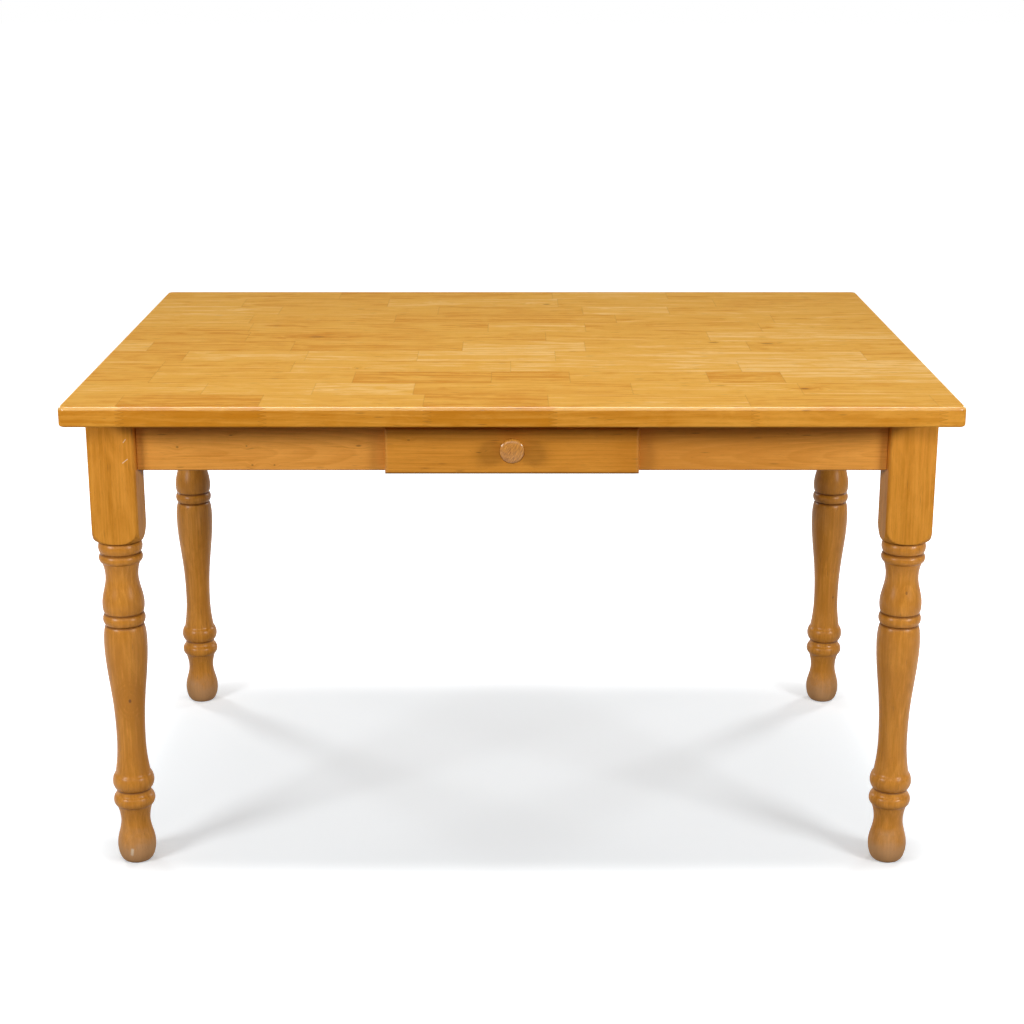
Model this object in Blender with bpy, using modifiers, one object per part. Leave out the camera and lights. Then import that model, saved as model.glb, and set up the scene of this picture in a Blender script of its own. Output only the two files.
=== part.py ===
"""Farmhouse table with turned legs, a butcher-block top and one cutlery drawer.

Metres, +Z up. The origin is on the floor under the middle of the top, and the drawer faces -Y.
"""

import math

import bmesh
import bpy
from mathutils import Matrix, Vector

OBJECT_NAME = "farmhouse_table"

# Gap left between pieces that touch
FIT_GAP = 0.0003

# Top
TOP_LENGTH = 1.243
TOP_DEPTH = 0.920
TOP_THICKNESS = 0.029
TABLE_HEIGHT = 0.735
TOP_CORNER_RADIUS = 0.011
TOP_UPPER_ROUND = 0.006
TOP_LOWER_ROUND = 0.0035
TOP_END_OVERHANG = 0.0165
TOP_SIDE_OVERHANG = 0.0955

# Legs: the square post at their heads
POST_SIZE = 0.068
POST_ARRIS = 0.005
POMMEL_RISE = 0.0200
POMMEL_SWEEP = math.radians(75)

# The power of a bead's half wave on the legs: under 1 its sides are steeper
RING_FULLNESS = 0.65

# Leg turnings from the floor up: the length of each, and the radius that it swells to or ends at
FOOT_PAD_RADIUS = 0.0175
FOOT_BULB_LENGTH = 0.0265
FOOT_BULB_RADIUS = 0.0286
FOOT_NECK_LENGTH = 0.0390
FOOT_NECK_RADIUS = 0.0219
FOOT_FLARE_LENGTH = 0.0250
FOOT_FLARE_RADIUS = 0.0266
LOWER_RING_LENGTH = 0.0180
LOWER_RING_RADIUS = 0.0309
LOWER_RING_TOP_RADIUS = 0.0272
HOLLOW_LENGTH = 0.0080
HOLLOW_RADIUS = 0.0252
UPPER_RING_LENGTH = 0.0260
UPPER_RING_RADIUS = 0.0309
ANKLE_TOP_RADIUS = 0.0262
ANKLE_LENGTH = 0.0525
ANKLE_RADIUS = 0.0214
VASE_LENGTH = 0.1550
VASE_RADIUS = 0.0318
VASE_LEAN = 1.22
SHOULDER_LENGTH = 0.0285
SHOULDER_RADIUS = 0.0268
WAIST_RING_LENGTH = 0.0180
WAIST_RING_RADIUS = 0.0311
URN_GROOVE_RADIUS = 0.0274
URN_LENGTH = 0.0137
URN_RADIUS = 0.0308
COVE_LENGTH = 0.0428
COVE_RADIUS = 0.0240
COVE_FLARE_LENGTH = 0.0215
COVE_FLARE_RADIUS = 0.0278
NECK_RING_LENGTH = 0.0145
NECK_RING_RADIUS = 0.0320
NECK_GROOVE_RADIUS = 0.0286
COLLAR_RING_LENGTH = 0.0185
COLLAR_RING_RADIUS = 0.0322
COLLAR_TOP_RADIUS = 0.0288

# Aprons
APRON_HEIGHT = 0.090
APRON_THICKNESS = 0.022
APRON_SETBACK = 0.016
APRON_ARRIS = 0.0015

# Drawer and the rails that frame its window in the front apron
DRAWER_FRONT_WIDTH = 0.362
DRAWER_FRONT_THICKNESS = 0.019
DRAWER_FRONT_ROUND = 0.005
DRAWER_SIDE_OVERLAP = 0.012
DRAWER_TOP_OVERLAP = 0.008
DRAWER_FRONT_DROP = 0.0005
RAIL_LOWER_HEIGHT = 0.016
RAIL_UPPER_HEIGHT = 0.030
DRAWER_SIDE_CLEARANCE = 0.0015
DRAWER_TOP_CLEARANCE = 0.002
DRAWER_BOX_LENGTH = 0.420
DRAWER_SIDE_THICKNESS = 0.012
DRAWER_BACK_THICKNESS = 0.012
DRAWER_BOTTOM_THICKNESS = 0.004
DRAWER_BOTTOM_RAISE = 0.006
HOUSING_DEPTH = 0.006
GROOVE_DEPTH = 0.005

# Drawer runners and the kickers that keep the open drawer level
RUNNER_LEDGE_THICKNESS = 0.012
RUNNER_LEDGE_REACH = 0.018
RUNNER_GUIDE_WIDTH = 0.021
RUNNER_GUIDE_HEIGHT = 0.030
KICKER_WIDTH = 0.022

# Knob and its screw
KNOB_RADIUS = 0.0183
KNOB_PROJECTION = 0.0290
KNOB_DOME_RISE = 0.0050
KNOB_STEM_RADIUS = 0.0082
KNOB_STEM_HEIGHT = 0.0085
KNOB_BASE_RADIUS = 0.0115
KNOB_BORE_DEPTH = 0.0160
KNOB_RAISE = 0.0064
SCREW_RADIUS = 0.0020
SCREW_HEAD_RADIUS = 0.0040
SCREW_HEAD_HEIGHT = 0.0026
SCREW_HEAD_TOP_RADIUS = 0.0028
SCREW_HEAD_RIM = 0.0013
SCREW_GRIP = 0.0130

# Corner braces and the hanger bolts that draw the legs into the corners
BRACE_THICKNESS = 0.024
BRACE_HEIGHT = 0.050
POST_FLAT_DEPTH = 0.006
BOLT_RADIUS = 0.0040
BOLT_BITE = 0.0300
BOLT_TAIL = 0.0060
BOLT_CHAMFER = 0.0010
BOLT_HOLE_CLEARANCE = 0.0005
WASHER_RADIUS = 0.0120
WASHER_THICKNESS = 0.0020
NUT_HUB_RADIUS = 0.0070
NUT_HUB_LENGTH = 0.0095
NUT_HUB_TOP_RADIUS = 0.0060
NUT_WING_THICKNESS = 0.0030
NUT_WING_SPAN = 0.0350
NUT_WING_TIP_WIDTH = 0.0055
NUT_WING_RISE = 0.0160
NUT_WING_TIP_ROUND = 0.0016
NUT_WING_ROOT_LOW = 0.0014
NUT_WING_ROOT_HIGH = 0.0081
NUT_WING_ELBOW_REACH = 0.0049
NUT_WING_ELBOW_HEIGHT = 0.0043

# Wooden buttons that hold the top to the aprons
BUTTON_END_INSET = 0.2615
BUTTON_WIDTH = 0.036
BUTTON_LENGTH = 0.030
BUTTON_THICKNESS = 0.020
BUTTON_TONGUE_LENGTH = 0.009
BUTTON_TONGUE_THICKNESS = 0.009

# Facets
LEG_SIDES = 20
KNOB_SIDES = 24
METAL_SIDES = 12

# Reach of cutters past the faces they cut
CUT_MARGIN = 0.010

# Places that follow from the sizes
POST_HALF = POST_SIZE / 2
LEG_X = TOP_LENGTH / 2 - TOP_END_OVERHANG - POST_HALF
LEG_Y = TOP_DEPTH / 2 - TOP_SIDE_OVERHANG - POST_HALF
UNDERSIDE = TABLE_HEIGHT - TOP_THICKNESS
FRAME_TOP = UNDERSIDE - FIT_GAP
APRON_BOTTOM = FRAME_TOP - APRON_HEIGHT
APRON_Y = LEG_Y + POST_HALF - APRON_SETBACK
APRON_X = LEG_X + POST_HALF - APRON_SETBACK
APRON_INNER_Y = APRON_Y - APRON_THICKNESS
APRON_INNER_X = APRON_X - APRON_THICKNESS
APRON_END_X = LEG_X - POST_HALF - FIT_GAP
APRON_END_Y = LEG_Y - POST_HALF - FIT_GAP
WINDOW_HALF = DRAWER_FRONT_WIDTH / 2 - DRAWER_SIDE_OVERLAP
WINDOW_BOTTOM = APRON_BOTTOM + RAIL_LOWER_HEIGHT
WINDOW_TOP = FRAME_TOP - RAIL_UPPER_HEIGHT
BOX_HALF = WINDOW_HALF - DRAWER_SIDE_CLEARANCE
BOX_INNER_HALF = BOX_HALF - DRAWER_SIDE_THICKNESS
BOX_BOTTOM = WINDOW_BOTTOM + FIT_GAP
BOX_TOP = WINDOW_TOP - DRAWER_TOP_CLEARANCE
BOX_FRONT_Y = -APRON_Y - FIT_GAP
BOX_BACK_Y = BOX_FRONT_Y + DRAWER_BOX_LENGTH
PANEL_BOTTOM = BOX_BOTTOM + DRAWER_BOTTOM_RAISE
PANEL_TOP = PANEL_BOTTOM + DRAWER_BOTTOM_THICKNESS
FRONT_TOP = WINDOW_TOP + DRAWER_TOP_OVERLAP
FRONT_BOTTOM = APRON_BOTTOM - DRAWER_FRONT_DROP
FRONT_FACE_Y = BOX_FRONT_Y - DRAWER_FRONT_THICKNESS
KNOB_Z = (FRONT_BOTTOM + FRONT_TOP) / 2 + KNOB_RAISE
BRACE_Z = (APRON_BOTTOM + FRAME_TOP) / 2
POST_FLAT = POST_HALF * math.sqrt(2) - POST_FLAT_DEPTH
BRACE_OUTER = POST_FLAT + FIT_GAP
BRACE_INNER = BRACE_OUTER + BRACE_THICKNESS
WASHER_START = BRACE_INNER + FIT_GAP
NUT_START = WASHER_START + WASHER_THICKNESS + FIT_GAP
BOLT_START = POST_FLAT - BOLT_BITE
BOLT_LENGTH = NUT_START + NUT_HUB_LENGTH + BOLT_TAIL - BOLT_START
BUTTON_BOTTOM = FRAME_TOP - BUTTON_THICKNESS
BUTTON_X = TOP_LENGTH / 2 - BUTTON_END_INSET

# Colours, roughness and metallic value of each finish
HONEY = ((0.46, 0.22, 0.055, 1.0), 0.38, 0.0)
HONEY_DARK = ((0.40, 0.18, 0.045, 1.0), 0.42, 0.0)
PALE_WOOD = ((0.62, 0.42, 0.22, 1.0), 0.62, 0.0)
KNOB_WOOD = ((0.52, 0.27, 0.09, 1.0), 0.40, 0.0)
STEEL = ((0.58, 0.57, 0.55, 1.0), 0.32, 1.0)

# Each corner's name, its side in X and Y, and its turn from the front left corner
CORNERS = (
    ("front_left", -1, -1, 0.0),
    ("front_right", 1, -1, math.pi / 2),
    ("back_right", 1, 1, math.pi),
    ("back_left", -1, 1, 3 * math.pi / 2),
)


class TurnedOutline:
    """Outer line of a turned piece as (radius, height) points, drawn from its foot up."""

    def __init__(self, radius):
        self.points = [(radius, 0.0)]

    def stretch(self, length, steps, radius_at, height_at):
        """Add points along a stretch: both rules take the share of the way along it."""
        start = self.points[-1][1]
        for step in range(1, steps + 1):
            share = step / steps
            self.points.append((radius_at(share), start + length * height_at(share)))

    def swell(self, length, radius, steps):
        """Curve out to the radius and end upright, as a quarter of an ellipse."""
        first = self.points[-1][0]
        self.stretch(
            length, steps,
            lambda share: first + (radius - first) * math.sin(share * math.pi / 2),
            lambda share: 1 - math.cos(share * math.pi / 2),
        )

    def shoulder(self, length, radius, steps):
        """Leave upright and curve in to the radius, as a quarter of an ellipse."""
        first = self.points[-1][0]
        self.stretch(
            length, steps,
            lambda share: radius + (first - radius) * math.cos(share * math.pi / 2),
            lambda share: math.sin(share * math.pi / 2),
        )

    def ogee(self, length, radius, steps, lean=1.0):
        """Change smoothly to the radius, upright at both ends: a lean over 1 is slower at its start."""
        first = self.points[-1][0]
        self.stretch(
            length, steps,
            lambda share: first + (radius - first) * (1 - math.cos(share ** lean * math.pi)) / 2,
            lambda share: share,
        )

    def flare(self, length, radius, steps):
        """Leave upright and open out to the radius."""
        first = self.points[-1][0]
        self.stretch(length, steps, lambda share: first + (radius - first) * share ** 2, lambda share: share)

    def settle(self, length, radius, steps):
        """Run in to the radius and end upright."""
        first = self.points[-1][0]
        self.stretch(length, steps, lambda share: radius + (first - radius) * (1 - share) ** 2, lambda share: share)

    def ring(self, length, radius, end_radius, steps):
        """Add a bead that swells to the radius and ends in a groove of the end radius."""
        first = self.points[-1][0]

        def bead(share):
            groove = first + (end_radius - first) * share
            return groove + (radius - groove) * math.sin(share * math.pi) ** RING_FULLNESS

        self.stretch(length, steps, bead, lambda share: share)


def clear_scene():
    """Remove every object and leave two collections, for the parts and for the cutters."""
    for item in list(bpy.data.objects):
        bpy.data.objects.remove(item, do_unlink=True)
    for name in (OBJECT_NAME, "cutters"):
        group = bpy.data.collections.get(name)
        if group is None:
            group = bpy.data.collections.new(name)
            bpy.context.scene.collection.children.link(group)


def add_object(name, mesh, group=OBJECT_NAME):
    """Put a mesh in the scene as an object of the named collection."""
    piece = bpy.data.objects.new(name, mesh)
    bpy.data.collections[group].objects.link(piece)
    if group == "cutters":
        piece.hide_render = True
        piece.display_type = "WIRE"
    return piece


def finish(piece, look):
    """Give the piece its own material."""
    colour, roughness, metallic = look
    material = bpy.data.materials.new(piece.name)
    material.use_nodes = True
    shader = material.node_tree.nodes["Principled BSDF"]
    shader.inputs["Base Color"].default_value = colour
    shader.inputs["Roughness"].default_value = roughness
    shader.inputs["Metallic"].default_value = metallic
    piece.data.materials.clear()
    piece.data.materials.append(material)
    return piece


def board(name, low, high, group=OBJECT_NAME):
    """Make a rectangular block from its two opposite corners."""
    low = Vector(low)
    high = Vector(high)
    mesh = bpy.data.meshes.new(name)
    form = bmesh.new()
    bmesh.ops.create_cube(form, size=1.0, matrix=Matrix.Diagonal((*(high - low), 1.0)))
    form.to_mesh(mesh)
    form.free()
    piece = add_object(name, mesh, group)
    piece.location = (low + high) / 2
    return piece


def cutter(name, low, high):
    """Make a block that other pieces are cut with."""
    return board(name, low, high, "cutters")


def round_edges(piece, wanted, radius, segments):
    """Round the edges of the piece's mesh that the wanted test picks."""
    form = bmesh.new()
    form.from_mesh(piece.data)
    edges = [edge for edge in form.edges if wanted(edge)]
    bmesh.ops.bevel(form, geom=edges, offset=radius, segments=segments, profile=0.5, affect="EDGES")
    form.to_mesh(piece.data)
    form.free()


def upright(edge):
    """Tell whether an edge runs along Z."""
    first, second = edge.verts
    return abs((second.co - first.co).normalized().z) > 0.999


def bounds_face(normal):
    """Make a test for the edges of the flat face that looks along the normal."""
    direction = Vector(normal)
    return lambda edge: any(face.normal.dot(direction) > 0.999 for face in edge.link_faces)


def combine(piece, tool, operation):
    """Cut, join or intersect the piece with another object."""
    modifier = piece.modifiers.new(tool.name, "BOOLEAN")
    modifier.operation = operation
    modifier.solver = "EXACT"
    modifier.object = tool


def turned(name, points, sides, group=OBJECT_NAME, closed=False):
    """Turn an outline of (radius, height) points, listed from the top down, about Z."""
    mesh = bpy.data.meshes.new(name)
    edges = [(index, index + 1) for index in range(len(points) - 1)]
    if closed:
        edges.append((len(points) - 1, 0))
    mesh.from_pydata([(radius, 0.0, height) for radius, height in points], edges, [])
    piece = add_object(name, mesh, group)
    screw = piece.modifiers.new("turn", "SCREW")
    screw.axis = "Z"
    screw.angle = 2 * math.pi
    screw.steps = sides
    screw.render_steps = sides
    screw.use_merge_vertices = True
    screw.merge_threshold = 0.00001
    screw.use_smooth_shade = True
    return piece


def outline_board(name, outline, thickness, group=OBJECT_NAME):
    """Make a flat piece from its outline in X and Y, centred on Z = 0."""
    curve = bpy.data.curves.new(name, "CURVE")
    curve.dimensions = "2D"
    curve.fill_mode = "BOTH"
    curve.extrude = thickness / 2
    line = curve.splines.new("POLY")
    line.points.add(len(outline) - 1)
    for point, (x, y) in zip(line.points, outline):
        point.co = (x, y, 0.0, 1.0)
    line.use_cyclic_u = True
    return add_object(name, baked(add_object(name, curve, "cutters")), group)


def baked(piece):
    """Turn an object with its modifiers into a plain welded mesh, and remove the object."""
    bpy.context.view_layer.update()
    name = piece.name
    evaluated = piece.evaluated_get(bpy.context.evaluated_depsgraph_get())
    mesh = bpy.data.meshes.new_from_object(evaluated)
    mesh.transform(piece.matrix_world)
    bpy.data.objects.remove(piece, do_unlink=True)
    form = bmesh.new()
    form.from_mesh(mesh)
    bmesh.ops.remove_doubles(form, verts=form.verts, dist=0.000001)
    form.to_mesh(mesh)
    form.free()
    mesh.name = name
    return mesh


def shade_round(piece):
    """Shade the piece smooth, with its sharp edges kept."""
    piece.data.shade_smooth()
    piece.data.set_sharp_from_angle(angle=math.radians(35))


def along_diagonal(distance, height):
    """Place a piece turned about Z on the inward diagonal of the front left leg."""
    lift = Matrix.Translation((0.0, 0.0, height))
    swing = Matrix.Rotation(math.pi / 4, 4, "Z")
    shift = Matrix.Translation((distance, 0.0, 0.0))
    tip = Matrix.Rotation(math.pi / 2, 4, "Y")
    return lift @ swing @ shift @ tip


def copies_at_corners(name, mesh, look):
    """Put one copy of a corner piece at each leg, turned to face the middle of the table."""
    for corner, side_x, side_y, turn in CORNERS:
        piece = add_object(name + "_" + corner, mesh.copy())
        piece.location = (side_x * LEG_X, side_y * LEG_Y, 0.0)
        piece.rotation_euler = (0.0, 0.0, turn)
        finish(piece, look)


def make_top():
    """Make the solid top, rounded in plan and along both rims."""
    half_length = TOP_LENGTH / 2
    half_depth = TOP_DEPTH / 2
    top = board("table_top", (-half_length, -half_depth, UNDERSIDE), (half_length, half_depth, TABLE_HEIGHT))
    round_edges(top, upright, TOP_CORNER_RADIUS, 5)
    round_edges(top, bounds_face((0, 0, 1)), TOP_UPPER_ROUND, 3)
    round_edges(top, bounds_face((0, 0, -1)), TOP_LOWER_ROUND, 3)
    finish(top, HONEY)
    shade_round(top)


def leg_outline():
    """Draw the leg's turned outline from the floor to the post."""
    outline = TurnedOutline(FOOT_PAD_RADIUS)
    outline.swell(FOOT_BULB_LENGTH, FOOT_BULB_RADIUS, 4)
    outline.ogee(FOOT_NECK_LENGTH, FOOT_NECK_RADIUS, 5)
    outline.flare(FOOT_FLARE_LENGTH, FOOT_FLARE_RADIUS, 2)
    outline.ring(LOWER_RING_LENGTH, LOWER_RING_RADIUS, LOWER_RING_TOP_RADIUS, 6)
    outline.settle(HOLLOW_LENGTH, HOLLOW_RADIUS, 2)
    outline.ring(UPPER_RING_LENGTH, UPPER_RING_RADIUS, ANKLE_TOP_RADIUS, 6)
    outline.settle(ANKLE_LENGTH, ANKLE_RADIUS, 3)
    outline.ogee(VASE_LENGTH, VASE_RADIUS, 6, VASE_LEAN)
    outline.shoulder(SHOULDER_LENGTH, SHOULDER_RADIUS, 3)
    outline.ring(WAIST_RING_LENGTH, WAIST_RING_RADIUS, URN_GROOVE_RADIUS, 4)
    outline.swell(URN_LENGTH, URN_RADIUS, 2)
    outline.ogee(COVE_LENGTH, COVE_RADIUS, 4)
    outline.flare(COVE_FLARE_LENGTH, COVE_FLARE_RADIUS, 3)
    outline.ring(NECK_RING_LENGTH, NECK_RING_RADIUS, NECK_GROOVE_RADIUS, 4)
    outline.ring(COLLAR_RING_LENGTH, COLLAR_RING_RADIUS, COLLAR_TOP_RADIUS, 4)
    return outline.points


def leg_blank():
    """Turn the leg, with its rounded shoulder running out past the corners of the post."""
    points = leg_outline()
    first_radius, first_height = points[-1]
    corner = POST_SIZE / math.sqrt(2) - POST_ARRIS * (math.sqrt(2) - 1)
    steps = 4
    for step in range(1, steps + 1):
        angle = POMMEL_SWEEP * step / steps
        radius = first_radius + (corner - first_radius) * math.sin(angle) / math.sin(POMMEL_SWEEP)
        height = first_height + POMMEL_RISE * (1 - math.cos(angle)) / (1 - math.cos(POMMEL_SWEEP))
        points.append((radius, height))
    clear_radius = corner + CUT_MARGIN
    points.append((clear_radius, points[-1][1] + CUT_MARGIN * math.tan(POMMEL_SWEEP)))
    points.append((clear_radius, FRAME_TOP + CUT_MARGIN))
    line = [(0.0, 0.0)] + points + [(0.0, FRAME_TOP + CUT_MARGIN)]
    return turned("leg_blank", line[::-1], LEG_SIDES, "cutters")


def make_legs():
    """Make the four legs: turned below, square above, flatted and bored for the hanger bolt."""
    blank = leg_blank()
    post = cutter("post_square", (-POST_HALF, -POST_HALF, -CUT_MARGIN), (POST_HALF, POST_HALF, FRAME_TOP))
    round_edges(post, upright, POST_ARRIS, 3)
    combine(blank, post, "INTERSECT")
    flat = cutter("post_flat", (POST_FLAT, -POST_HALF, APRON_BOTTOM), (POST_SIZE, POST_HALF, FRAME_TOP + CUT_MARGIN))
    flat.matrix_world = Matrix.Rotation(math.pi / 4, 4, "Z") @ Matrix.Translation(flat.location)
    combine(blank, flat, "DIFFERENCE")
    depth = BOLT_BITE + FIT_GAP
    radius = BOLT_RADIUS + FIT_GAP
    line = [(0.0, depth + CUT_MARGIN), (radius, depth + CUT_MARGIN), (radius, 0.0), (0.0, 0.0)]
    bore = turned("bolt_bore", line, METAL_SIDES, "cutters")
    bore.matrix_world = along_diagonal(POST_FLAT - depth, BRACE_Z)
    combine(blank, bore, "DIFFERENCE")
    copies_at_corners("leg", baked(blank), HONEY_DARK)


def apron(name, low, high, mortises):
    """Make an apron board with a mortise in its inner face for each of its buttons."""
    piece = board(name, low, high)
    round_edges(piece, bounds_face((0, 0, -1)), APRON_ARRIS, 1)
    for mortise in mortises:
        combine(piece, mortise, "DIFFERENCE")
    return finish(piece, HONEY)


def button_places():
    """List each button's name, its place on an apron's inner face and its turn."""
    places = []
    for end, side in (("left", -1), ("right", 1)):
        places.append(("front_" + end, (side * BUTTON_X, -APRON_INNER_Y), 0.0))
        places.append(("back_" + end, (side * BUTTON_X, APRON_INNER_Y), math.pi))
        places.append((end, (side * APRON_INNER_X, 0.0), side * math.pi / 2))
    return places


def make_mortises():
    """Make the cutter of each button's mortise, keyed by the button's name."""
    mortises = {}
    half = BUTTON_WIDTH / 2 + FIT_GAP
    depth = BUTTON_TONGUE_LENGTH + FIT_GAP
    low_z = BUTTON_BOTTOM - FIT_GAP
    high_z = BUTTON_BOTTOM + BUTTON_TONGUE_THICKNESS + FIT_GAP
    for name, (x, y), turn in button_places():
        block = cutter("mortise_" + name, (-half, -depth, low_z), (half, CUT_MARGIN, high_z))
        block.matrix_world = (
            Matrix.Translation((x, y, 0.0)) @ Matrix.Rotation(turn, 4, "Z") @ Matrix.Translation(block.location)
        )
        mortises[name] = block
    return mortises


def make_aprons():
    """Make the aprons: the front one stops each side of the drawer's window."""
    mortises = make_mortises()
    for end, side in (("left", -1), ("right", 1)):
        inner = side * (WINDOW_HALF + FIT_GAP)
        outer = side * APRON_END_X
        apron(
            "apron_front_" + end,
            (min(inner, outer), -APRON_Y, APRON_BOTTOM),
            (max(inner, outer), -APRON_INNER_Y, FRAME_TOP),
            [mortises["front_" + end]],
        )
        near = side * APRON_INNER_X
        far = side * APRON_X
        apron(
            "apron_" + end,
            (min(near, far), -APRON_END_Y, APRON_BOTTOM),
            (max(near, far), APRON_END_Y, FRAME_TOP),
            [mortises[end]],
        )
    apron(
        "apron_back",
        (-APRON_END_X, APRON_INNER_Y, APRON_BOTTOM),
        (APRON_END_X, APRON_Y, FRAME_TOP),
        [mortises["back_left"], mortises["back_right"]],
    )


def make_window_rails():
    """Make the rails above and below the drawer, between the two front aprons."""
    upper = board(
        "drawer_rail_upper", (-WINDOW_HALF, -APRON_Y, WINDOW_TOP), (WINDOW_HALF, -APRON_INNER_Y, FRAME_TOP)
    )
    finish(upper, HONEY)
    lower = board(
        "drawer_rail_lower", (-WINDOW_HALF, -APRON_Y, APRON_BOTTOM), (WINDOW_HALF, -APRON_INNER_Y, WINDOW_BOTTOM)
    )
    finish(lower, HONEY)


def make_buttons():
    """Make the buttons, each with its tongue in an apron's mortise and its back under the top."""
    outline = (
        (BUTTON_LENGTH, BUTTON_BOTTOM),
        (BUTTON_LENGTH, FRAME_TOP),
        (FIT_GAP, FRAME_TOP),
        (FIT_GAP, BUTTON_BOTTOM + BUTTON_TONGUE_THICKNESS),
        (-BUTTON_TONGUE_LENGTH, BUTTON_BOTTOM + BUTTON_TONGUE_THICKNESS),
        (-BUTTON_TONGUE_LENGTH, BUTTON_BOTTOM),
    )
    pattern = outline_board("button_pattern", outline, BUTTON_WIDTH)
    pattern.matrix_world = Matrix.Rotation(math.pi / 2, 4, "Z") @ Matrix.Rotation(math.pi / 2, 4, "X")
    mesh = baked(pattern)
    for name, (x, y), turn in button_places():
        piece = add_object("top_button_" + name, mesh.copy())
        piece.location = (x, y, 0.0)
        piece.rotation_euler = (0.0, 0.0, turn)
        finish(piece, PALE_WOOD)


def make_braces():
    """Make the corner braces, mitred to the aprons and bored for the hanger bolts."""
    apron_face = APRON_SETBACK + APRON_THICKNESS - POST_HALF + FIT_GAP
    near = BRACE_OUTER * math.sqrt(2) - apron_face
    far = BRACE_INNER * math.sqrt(2) - apron_face
    outline = ((near, apron_face), (far, apron_face), (apron_face, far), (apron_face, near))
    pattern = outline_board("brace_pattern", outline, BRACE_HEIGHT)
    pattern.location.z = BRACE_Z
    radius = BOLT_RADIUS + BOLT_HOLE_CLEARANCE
    length = BRACE_THICKNESS + 2 * CUT_MARGIN
    hole = turned(
        "brace_hole", [(0.0, length), (radius, length), (radius, 0.0), (0.0, 0.0)], METAL_SIDES, "cutters"
    )
    hole.matrix_world = along_diagonal(BRACE_OUTER - CUT_MARGIN, BRACE_Z)
    combine(pattern, hole, "DIFFERENCE")
    copies_at_corners("corner_brace", baked(pattern), PALE_WOOD)


def make_hanger_bolts():
    """Make the hanger bolts, which run from the legs through the braces and the nuts."""
    rim = BOLT_RADIUS - BOLT_CHAMFER
    line = [
        (0.0, BOLT_LENGTH),
        (rim, BOLT_LENGTH),
        (BOLT_RADIUS, BOLT_LENGTH - BOLT_CHAMFER),
        (BOLT_RADIUS, BOLT_CHAMFER),
        (rim, 0.0),
        (0.0, 0.0),
    ]
    bolt = turned("bolt_pattern", line, METAL_SIDES)
    bolt.matrix_world = along_diagonal(BOLT_START, BRACE_Z)
    copies_at_corners("hanger_bolt", baked(bolt), STEEL)


def make_washers():
    """Make the washers under the wing nuts."""
    bore = BOLT_RADIUS + FIT_GAP
    line = [(bore, WASHER_THICKNESS), (WASHER_RADIUS, WASHER_THICKNESS), (WASHER_RADIUS, 0.0), (bore, 0.0)]
    washer = turned("washer_pattern", line, METAL_SIDES, closed=True)
    washer.matrix_world = along_diagonal(WASHER_START, BRACE_Z)
    copies_at_corners("washer", baked(washer), STEEL)


def wing_outline():
    """Draw both wings of a wing nut, with the bolt's axis along Y."""
    half_span = NUT_WING_SPAN / 2
    root = NUT_HUB_RADIUS
    half = [
        (root, NUT_WING_ROOT_LOW),
        (half_span - NUT_WING_ELBOW_REACH, NUT_WING_ELBOW_HEIGHT),
        (half_span, NUT_WING_RISE - NUT_WING_TIP_WIDTH),
        (half_span, NUT_WING_RISE - NUT_WING_TIP_ROUND),
        (half_span - NUT_WING_TIP_ROUND, NUT_WING_RISE),
        (half_span - NUT_WING_TIP_WIDTH + NUT_WING_TIP_ROUND, NUT_WING_RISE),
        (half_span - NUT_WING_TIP_WIDTH, NUT_WING_RISE - NUT_WING_TIP_ROUND),
        (root, NUT_WING_ROOT_HIGH),
    ]
    return half + [(-x, y) for x, y in reversed(half)]


def make_wing_nuts():
    """Make the wing nuts that draw the legs home."""
    hub_line = [
        (0.0, NUT_HUB_LENGTH),
        (NUT_HUB_TOP_RADIUS, NUT_HUB_LENGTH),
        (NUT_HUB_RADIUS, 0.0),
        (0.0, 0.0),
    ]
    nut = turned("nut_pattern", hub_line, METAL_SIDES)
    wings = outline_board("nut_wings", wing_outline(), NUT_WING_THICKNESS, "cutters")
    wings.matrix_world = Matrix.Rotation(math.pi / 2, 4, "X")
    combine(nut, wings, "UNION")
    radius = BOLT_RADIUS + FIT_GAP
    line = [(0.0, NUT_WING_RISE), (radius, NUT_WING_RISE), (radius, -CUT_MARGIN), (0.0, -CUT_MARGIN)]
    combine(nut, turned("nut_bore", line, METAL_SIDES, "cutters"), "DIFFERENCE")
    mesh = baked(nut)
    mesh.transform(along_diagonal(NUT_START, BRACE_Z))
    copies_at_corners("wing_nut", mesh, STEEL)


def make_runners():
    """Make the rebated runners that carry the drawer, and the kickers above it."""
    for end, side in (("left", -1), ("right", 1)):
        ledge_edge = side * (BOX_HALF - RUNNER_LEDGE_REACH)
        guide_face = side * WINDOW_HALF
        outer_face = side * (WINDOW_HALF + RUNNER_GUIDE_WIDTH)
        front = -APRON_INNER_Y + FIT_GAP
        back = APRON_INNER_Y - FIT_GAP
        guide_top = WINDOW_BOTTOM + RUNNER_GUIDE_HEIGHT
        runner = board(
            "drawer_runner_" + end,
            (min(ledge_edge, outer_face), front, WINDOW_BOTTOM - RUNNER_LEDGE_THICKNESS),
            (max(ledge_edge, outer_face), back, guide_top),
        )
        past_ledge = ledge_edge - side * CUT_MARGIN
        rebate = cutter(
            "runner_rebate_" + end,
            (min(past_ledge, guide_face), front - CUT_MARGIN, WINDOW_BOTTOM),
            (max(past_ledge, guide_face), back + CUT_MARGIN, guide_top + CUT_MARGIN),
        )
        combine(runner, rebate, "DIFFERENCE")
        finish(runner, PALE_WOOD)
        inner = side * (BOX_HALF - RUNNER_LEDGE_REACH)
        outer = inner + side * KICKER_WIDTH
        kicker = board(
            "drawer_kicker_" + end,
            (min(inner, outer), front, WINDOW_TOP),
            (max(inner, outer), back, FRAME_TOP),
        )
        finish(kicker, PALE_WOOD)


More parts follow.
